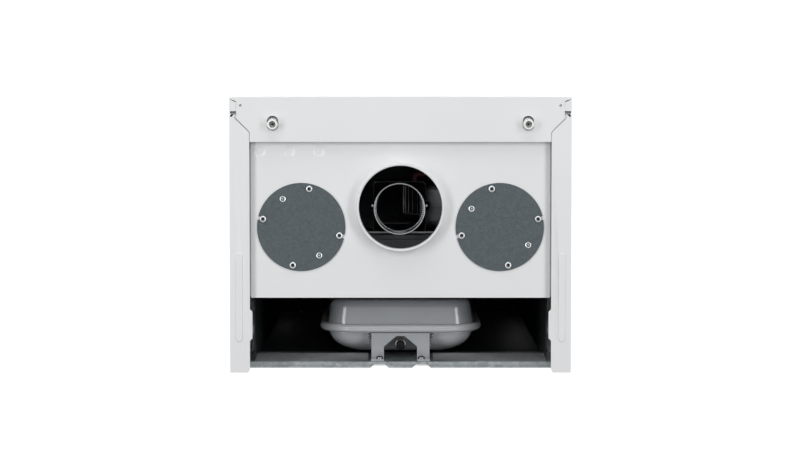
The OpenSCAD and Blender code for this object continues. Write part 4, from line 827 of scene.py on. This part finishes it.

# folded laps under the seams between the casing's panels, the chamber's edge seal, and what fills the tab's
# gap, its slit and the corner hole, with a black pad under the slit as painted shade; each strip is its path
# on the +X side, width, low, high and top bevel

casing = bodyOf["front_casing"]
laps = {
    "SeamLap": ("root", "white_enamel",
                [([(200.6, -309.3), (181.0, -289.2), (180.6, -288.6), (180.6, -277.4)],
                  6.0, 44.6, 45.6, 0.3)]),
    "EdgeSeal": ("root", "white_enamel", [([(180.4, -304.6), (180.4, -91.0)], 2.6, 34.6, 38.6, 0.3)]),
    "TabLap": (casing, "white_enamel",
               [([(196.8, -325.4), (196.8, -314.4)], 0.34, 46.6, 47.6, 0.05),
                ([(200.8, -327.65), (204.6, -329.36)], 0.9, 46.6, 47.6, 0.05),
                ([(197.2, -311.8), (203.2, -311.8)], 2.8, 40.0, 41.0, 0.05)]),
    "SlitPaintedShade": (casing, "black_rubber", [([(197.0, -325.9), (201.0, -327.7)], 1.9, 46.0, 46.9, 0.05)]),
}
plug = dict(x=191.6, y=-321.0, z=45.4, r=1.45, high=1.2)


def makeLaps(s, side, lapForms, x, y, z, r, high):
    for name, (body, slotName, strips) in lapForms.items():
        parts = [stripMesh(np.array(path) * (s, 1), *sizes) for path, *sizes in strips]
        placed(side + name, parts, slotName, body=body)
    name = side + "CornerPlug"
    placed(name, screwDome(s * x, y, z, r, high), "white_nylon", body=casing)


for s, side in ((1, "right"), (-1, "left")):
    makeLaps(s, side, laps, **plug)

# rail: its top's folded hem and rubbed marks, each line as (Y, width, top, bevel), rivets, and its front web

rail = dict(reach=178.0, low=-0.2, hem=(-3.9, 0.5, 0.18, 0.1), groove=(-3.2, 0.45, 0.06, 0.05),
            mark=(-4.9, 0.8, 0.3, 0.2), markX=(14.5, 37.5), markLength=4.0)
rivets = dict(x=179.2, y=-27.0, z=-141.0)
webFace = dict(inner=40.0, outer=178.5, top=(-7.7, -1.6), low=(-12.4, -53.0), thick=0.6, cols=90, rows=8,
               streakX=36.0, streakLean=26.0, streakWidth=5.0, shade=0.72)


def makeRail(reach, low, hem, groove, mark, markX, markLength):
    # the hem, paler as a painted highlight, and the groove behind it, darker as painted shade, run the rail's
    # length; the marks stand beside its notches
    def line(middle, half, form):
        y, width, high, edge = form
        return stripMesh([(middle - half, y), (middle + half, y)], width, low, high, edge)

    parts = [marked(line(0, reach, hem), "wearAndPaintedLight", 0.6), marked(line(0, reach, groove), "paintedShade", 0.45)]
    parts += [marked(line(s * x, markLength / 2, mark), "wearAndPaintedLight", 1.0) for s in (-1, 1) for x in markX]
    placed("railLines", parts, "zinc_sheet")


def makeRivets(x, y, z):
    # low heads on the frame's two inner side walls
    rows = [(0.0, 1.6), (1.2, 1.4), (2.0, 0.8), (2.3, 0.0), (0.0, 0.0)]
    heads = [turnedMesh([(r, s * (x - high)) for r, high in rows], (0, y, z), "x", 20) for s in (-1, 1)]
    placed("frameRivets", heads, "steel")


def makeWebFace(inner, outer, top, low, thick, cols, rows, streakX, streakLean, streakWidth, shade):
    # drawn face of the front web, leaning a few degrees: a painted streak of light runs outward as it goes
    # down, and painted shade falls off with the distance from its inner top corner
    x, t = np.linspace(inner, outer, cols)[None], np.linspace(0, 1, rows)[:, None]
    y, z = (a + (b - a) * t for a, b in zip(top, low))
    front = np.stack(np.broadcast_arrays(x, y, z), -1)
    both = np.concatenate([front, front[::-1] + (0, thick, 0)])
    lightStreak = np.exp(-((x - streakX - streakLean * t) / streakWidth) ** 2)
    paintedShade = shade * np.exp(-((x - inner) / (8 * streakWidth)) ** 2) * (1 - t)
    starts = np.arange(2 * rows) * cols
    faces = gridFaces(2 * rows, cols, closeRows=True, closeCols=False)
    faces += [starts.tolist(), (starts + cols - 1).tolist()]
    halves = []
    for s in (-1, 1):
        mesh = facedOut(meshFrom(both * (s, 1, 1), faces))
        marked(mesh, "paintedShade", np.concatenate([paintedShade, paintedShade[::-1]]).ravel())
        halves.append(marked(mesh, "wearAndPaintedLight", np.concatenate([lightStreak, lightStreak[::-1]]).ravel()))
    # the face takes the paler copy of the galvanised finish, as painted light
    dress(placed("railWebFace", halves, "zinc_sheet"), "dull_zinc")


makeRail(**rail)
makeRivets(**rivets)
makeWebFace(**webFace)

# fascia: fluted knobs with pointers, their scales and the gauge's dial, which run from -135 to 135 degrees

dialStart, dialSweep = -135, 270
knobs = dict(heating=-110.0, water=-50.0)
knobForm = dict(z=-642.0, radius=19.0, back=-315.3, front=-327.3, spindle=3.0, end=-298.5, flutes=24,
                flute=(0.55, 0.75, 0.4), pointer=(6.5, 14.8, 1.6))
scales = dict(y=-314.0, z=-642.0, low=25.2, high=27.6, longHigh=29.0, width=0.7)
dial = dict(x=60.0, z=-642.0, floor=-312.4, ring=(18.4, 20.9), ticks=20, bars=4,
            bands=dict(normalBand=("circuit_green", -67.5, 0.0), highBand=("red_plastic", 67.5, 135.0)))
# strokes of each number, two units wide and four high
digits = [[[(0, 0), (2, 0), (2, 4), (0, 4), (0, 0)]],
          [[(0, 3), (1, 4), (1, 0)]],
          [[(0, 4), (2, 4), (2, 2), (0, 2), (0, 0), (2, 0)]],
          [[(0, 4), (2, 4), (2, 0), (0, 0)], [(0.4, 2), (2, 2)]],
          [[(0, 4), (0, 2), (2, 2)], [(2, 4), (2, 0)]]]


def barsMesh(segments, width, back, front):
    # flat bars in a plane square to Y: each runs between two points (x, z) and half its width past them
    ends = np.asarray(segments, float).reshape(-1, 2, 2)
    along = unit(ends[:, 1] - ends[:, 0]) * width / 2
    side = np.stack([-along[:, 1], along[:, 0]], -1)
    a, b = ends[:, 0] - along, ends[:, 1] + along
    corners = np.stack([a - side, b - side, b + side, a + side], 1)
    rows = [np.insert(corners, 1, y, -1) for y in (back, front)]
    box = np.array([[0, 1, 2, 3], [7, 6, 5, 4], [0, 4, 5, 1], [1, 5, 6, 2], [2, 6, 7, 3], [3, 7, 4, 0]])
    faces = (box[None] + 8 * np.arange(len(ends))[:, None, None]).reshape(-1, 4).tolist()
    return facedOut(meshFrom(np.concatenate(rows, 1), faces))


def onDial(x, z, radius, degrees):
    # point at an angle that runs clockwise from the top
    return (x + radius * math.sin(math.radians(degrees)), z + radius * math.cos(math.radians(degrees)))


def makeKnob(name, node, x, z, radius, back, front, spindle, end, flutes, flute, pointer):
    # skirt whose radius swings with the cosine of the angle, a rounded rim and a faint dish
    profile = [(0.0, end), (spindle, end), (spindle, back), (radius - 0.7, back), (radius, back - 0.8),
               (radius, back - 2.4), (radius - 0.9, back - 3.2), (radius - 1.3, front + 1.6),
               (radius - 1.9, front + 0.5), (radius - 3.0, front), (radius - 5.0, front + 0.3),
               (6.0, front + 0.7), (0.0, front + 0.7)]
    deep = np.zeros(len(profile))
    deep[6:9] = flute
    turns = flutes * 8
    turn = fullTurn(turns)
    swing = 1 - (deep / radius)[:, None] * (0.5 + 0.5 * np.cos(turn * flutes))
    points = onAxis(profile, (0, 0, 0), "y", turns)
    points[..., 0] = x + points[..., 0] * swing
    points[..., 2] = z + points[..., 2] * swing
    mesh = facedOut(meshFrom(points, gridFaces(len(profile), turns)), 1e-6)
    placed(name, mesh, "pale_plastic", node, bodyOf[node])
    inner, outer, width = pointer
    bar = [(onDial(x, z, inner, dialStart), onDial(x, z, outer, dialStart))]
    bar = barsMesh(bar, width, front + 0.9, front - 0.05)
    placed(name + "Pointer", bar, "black_plastic", body=bodyOf[node], smooth=False)


def makeScales(knobXs, y, z, low, high, longHigh, width):
    # eleven marks round each knob, the first, middle and last longer
    marks = [(onDial(x, z, low, a), onDial(x, z, high if a % dialStart else longHigh, a))
             for x in knobXs for a in np.arange(dialStart, 136, 27)]
    mesh = barsMesh(marks, width, y + 0.1, y - 0.15)
    placed("knobScales", mesh, "black_plastic", body=bodyOf["fascia"], smooth=False)


def makeDial(x, z, floor, ring, ticks, bars, bands):
    # bezel, ticks with every fifth longer, the numbers of the bars, and two coloured bands
    body, (inner, outer) = bodyOf["pressure_gauge"], ring
    rows = [(inner, floor - 1.2), (inner, floor - 2.2), (inner + 0.6, floor - 2.6),
            (outer - 0.7, floor - 2.6), (outer, floor - 2.1), (outer, floor - 1.65),
            (inner + 1.5, floor - 1.65), (inner + 1.5, floor - 1.2), (inner, floor - 1.2)]
    placed("gaugeBezel", turnedMesh(rows, (x, 0, z), "y", 64), "black_plastic", body=body)
    turns = [dialStart + dialSweep * i / ticks for i in range(ticks + 1)]
    marks = [(onDial(x, z, 16.0 if i % 5 else 14.6, a), onDial(x, z, 17.4, a)) for i, a in enumerate(turns)]
    printed = [barsMesh(marks, 0.4, floor + 0.1, floor - 0.12)]
    for n in range(bars + 1):
        middle = onDial(x, z, 11.4, dialStart + dialSweep * n / bars)
        for line in digits[n]:
            path = (np.array(line) - (1, 2)) * 0.6 + middle
            printed.append(barsMesh(list(zip(path, path[1:])), 0.34, floor + 0.1, floor - 0.12))
    placed("dialPrint", printed, "black_plastic", body=body, smooth=False)
    for name, (slotName, low, high) in bands.items():
        points = [onDial(x, z, 17.0, a) for a in np.linspace(low, high, 14)]
        band = barsMesh(list(zip(points, points[1:])), 0.9, floor + 0.1, floor - 0.06)
        placed(name, band, slotName, body=body, smooth=False)


for name, x in knobs.items():
    makeKnob(name + "Knob", name + "_knob", x, **knobForm)
makeScales(knobs.values(), **scales)
makeDial(**dial)
print("rail and fascia done")

# softened copies of the folded, cast and moulded nodes, by the radius of their edges in mm

softened = {
    0.15: "heat_exchanger", 0.2: "gas_pipe flow_pipe return_pipe vessel_hose",
    0.3: "blanking_plates electrodes circuit_board gas_manifold",
    0.4: "flue_hood combustion_chamber pressure_gauge burner", 0.5: "chamber_box hanging_rail back_frame",
    0.55: "front_casing left_side_panel right_side_panel chamber_cover", 0.6: "vessel_bracket",
    0.7: "water_connections", 0.8: "plate_exchanger air_vent safety_valve power_button",
    1.0: "insulation_boards filling_knob gas_cock control_box",
    1.2: "safety_knob gas_lever fascia pressure_switch", 1.6: "return_block",
    2.0: "gas_valve flow_block pump_motor diverter_actuator fan_motor", 2.5: "pump_body",
}
# the folds of the chamber's dimples are shallow, and are rounded too
foldAngles = {"chamber_box": 11}


def frameShade(p):
    # painted shade: the frame's inner side walls are darkest, its front face is dark too, and its rear face
    # has almost none
    inside = (np.abs(p[:, 0]) > 170) & (p[:, 1] < -12)
    return np.where(inside, 0.92, np.where(p[:, 1] < -0.5, 0.7, 0.1))


# the flue hood is marked a little paler than the fan
nodeMarks = {"back_frame": ("paintedShade", frameShade), "flue_hood": ("wearAndPaintedLight", lambda p: 0.16)}
ownFinish = {"vessel_hose": "steel_braid"}
for edge, names in softened.items():
    for name in names.split():
        piece = softenedCopy(name, edge, foldAngles.get(name, 28), nodeMarks.get(name))
        dress(piece, ownFinish.get(name, slotOf[name]))
print("softened copies done")

# stage, lights and camera, in metres

floorSettings = dict(level=-0.7525, half=6.0, glow=0.86, tone="b8b8b8")
worldSettings = dict(light=0.14, shown=1.0)
white = (1, 1, 1, 1)


def seenRays(tree):
    # 1 for the rays of the camera and for those that a mirror or glass sends on, else 0
    rays = addNode(tree, "LightPath").outputs
    seen = maths(tree, "MAXIMUM", rays["Is Camera Ray"], rays["Is Glossy Ray"])
    return maths(tree, "MAXIMUM", seen, rays["Is Transmission Ray"])


def makeFloor(level, half, glow, tone):
    # pale floor: part of the light it sends to the camera is its own, so it shows white and keeps a shadow
    material = bpy.data.materials.new("paleFloor")
    tree = emptyTree(material)
    power = maths(tree, "MULTIPLY", seenRays(tree), glow)
    own = addNode(tree, "Emission", {"Color": white, "Strength": power})
    matt = addNode(tree, "BsdfDiffuse", {"Color": linearColour(tone)})
    both = addNode(tree, "AddShader", {0: own.outputs[0], 1: matt.outputs[0]})
    addNode(tree, "OutputMaterial", {"Surface": both.outputs[0]})
    mesh = bpy.data.meshes.new("floor")
    corners = [(-half, -half, level), (half, -half, level), (half, half, level), (-half, half, level)]
    mesh.from_pydata(corners, [], [(0, 1, 2, 3)])
    mesh.materials.append(material)
    floor = bpy.data.objects.new("floor", mesh)
    scene.collection.objects.link(floor)


def makeWorld(light, shown):
    # even light for the object, white where the camera or a mirror looks past it
    scene.world = bpy.data.worlds.new("studio")
    tree = emptyTree(scene.world)
    soft, plain = (addNode(tree, "Background", {"Color": white, "Strength": f}) for f in (light, shown))
    mix = {"Fac": seenRays(tree), 1: soft.outputs[0], 2: plain.outputs[0]}
    both = addNode(tree, "MixShader", mix)
    addNode(tree, "OutputWorld", {"Surface": both.outputs[0]})


makeFloor(**floorSettings)
makeWorld(**worldSettings)

# each softbox: place, what it faces, size in metres, power in watts
softboxes = dict(
    topSoftbox=dict(place=(0.0, -1.3, 2.7), aim=(0.0, -0.2, 0.0), size=(1.6, 1.2), power=9.2),
    leftSoftbox=dict(place=(-1.55, -0.5, 1.6), aim=(0.0, -0.25, 0.0), size=(2.2, 0.6), power=21.3),
    rightSoftbox=dict(place=(1.55, -0.5, 1.6), aim=(0.0, -0.25, 0.0), size=(2.2, 0.6), power=21.3),
    frontSoftbox=dict(place=(0.0, -2.4, 0.9), aim=(0.0, -0.3, -0.3), size=(1.8, 1.2), power=17.0))


def makeSoftbox(name, place, aim, size, power):
    lamp = bpy.data.lights.new(name, "AREA")
    lamp.shape, lamp.size, lamp.size_y, lamp.energy = "RECTANGLE", size[0], size[1], power
    holder = bpy.data.objects.new(name, lamp)
    holder.location = place
    holder.rotation_euler = (Vector(aim) - Vector(place)).to_track_quat("-Z", "Y").to_euler()
    scene.collection.objects.link(holder)


for name, box in softboxes.items():
    makeSoftbox(name, **box)

cameraSettings = dict(eye=(0.0006, -0.3353, 2.798), target=(0.0006, -0.1779, 0.048), lens=103.35,
                      sensor=36.0, clip=(0.05, 50))


def makeCamera(eye, target, lens, sensor, clip):
    # looks down on the boiler with the wall side at the bottom of the frame
    data = bpy.data.cameras.new("camera")
    data.sensor_width, data.lens = sensor, lens
    data.clip_start, data.clip_end = clip
    camera = bpy.data.objects.new("camera", data)
    back = (Vector(eye) - Vector(target)).normalized()
    right = Vector((-1, 0, 0))
    up = back.cross(right).normalized()
    columns = [(*axis, 0) for axis in (right, up, back)] + [(*eye, 1)]
    camera.matrix_world = Matrix(columns).transposed()
    scene.collection.objects.link(camera)
    scene.camera = camera


makeCamera(**cameraSettings)
scene.view_settings.view_transform = "Standard"
print("stage, lights and camera done")
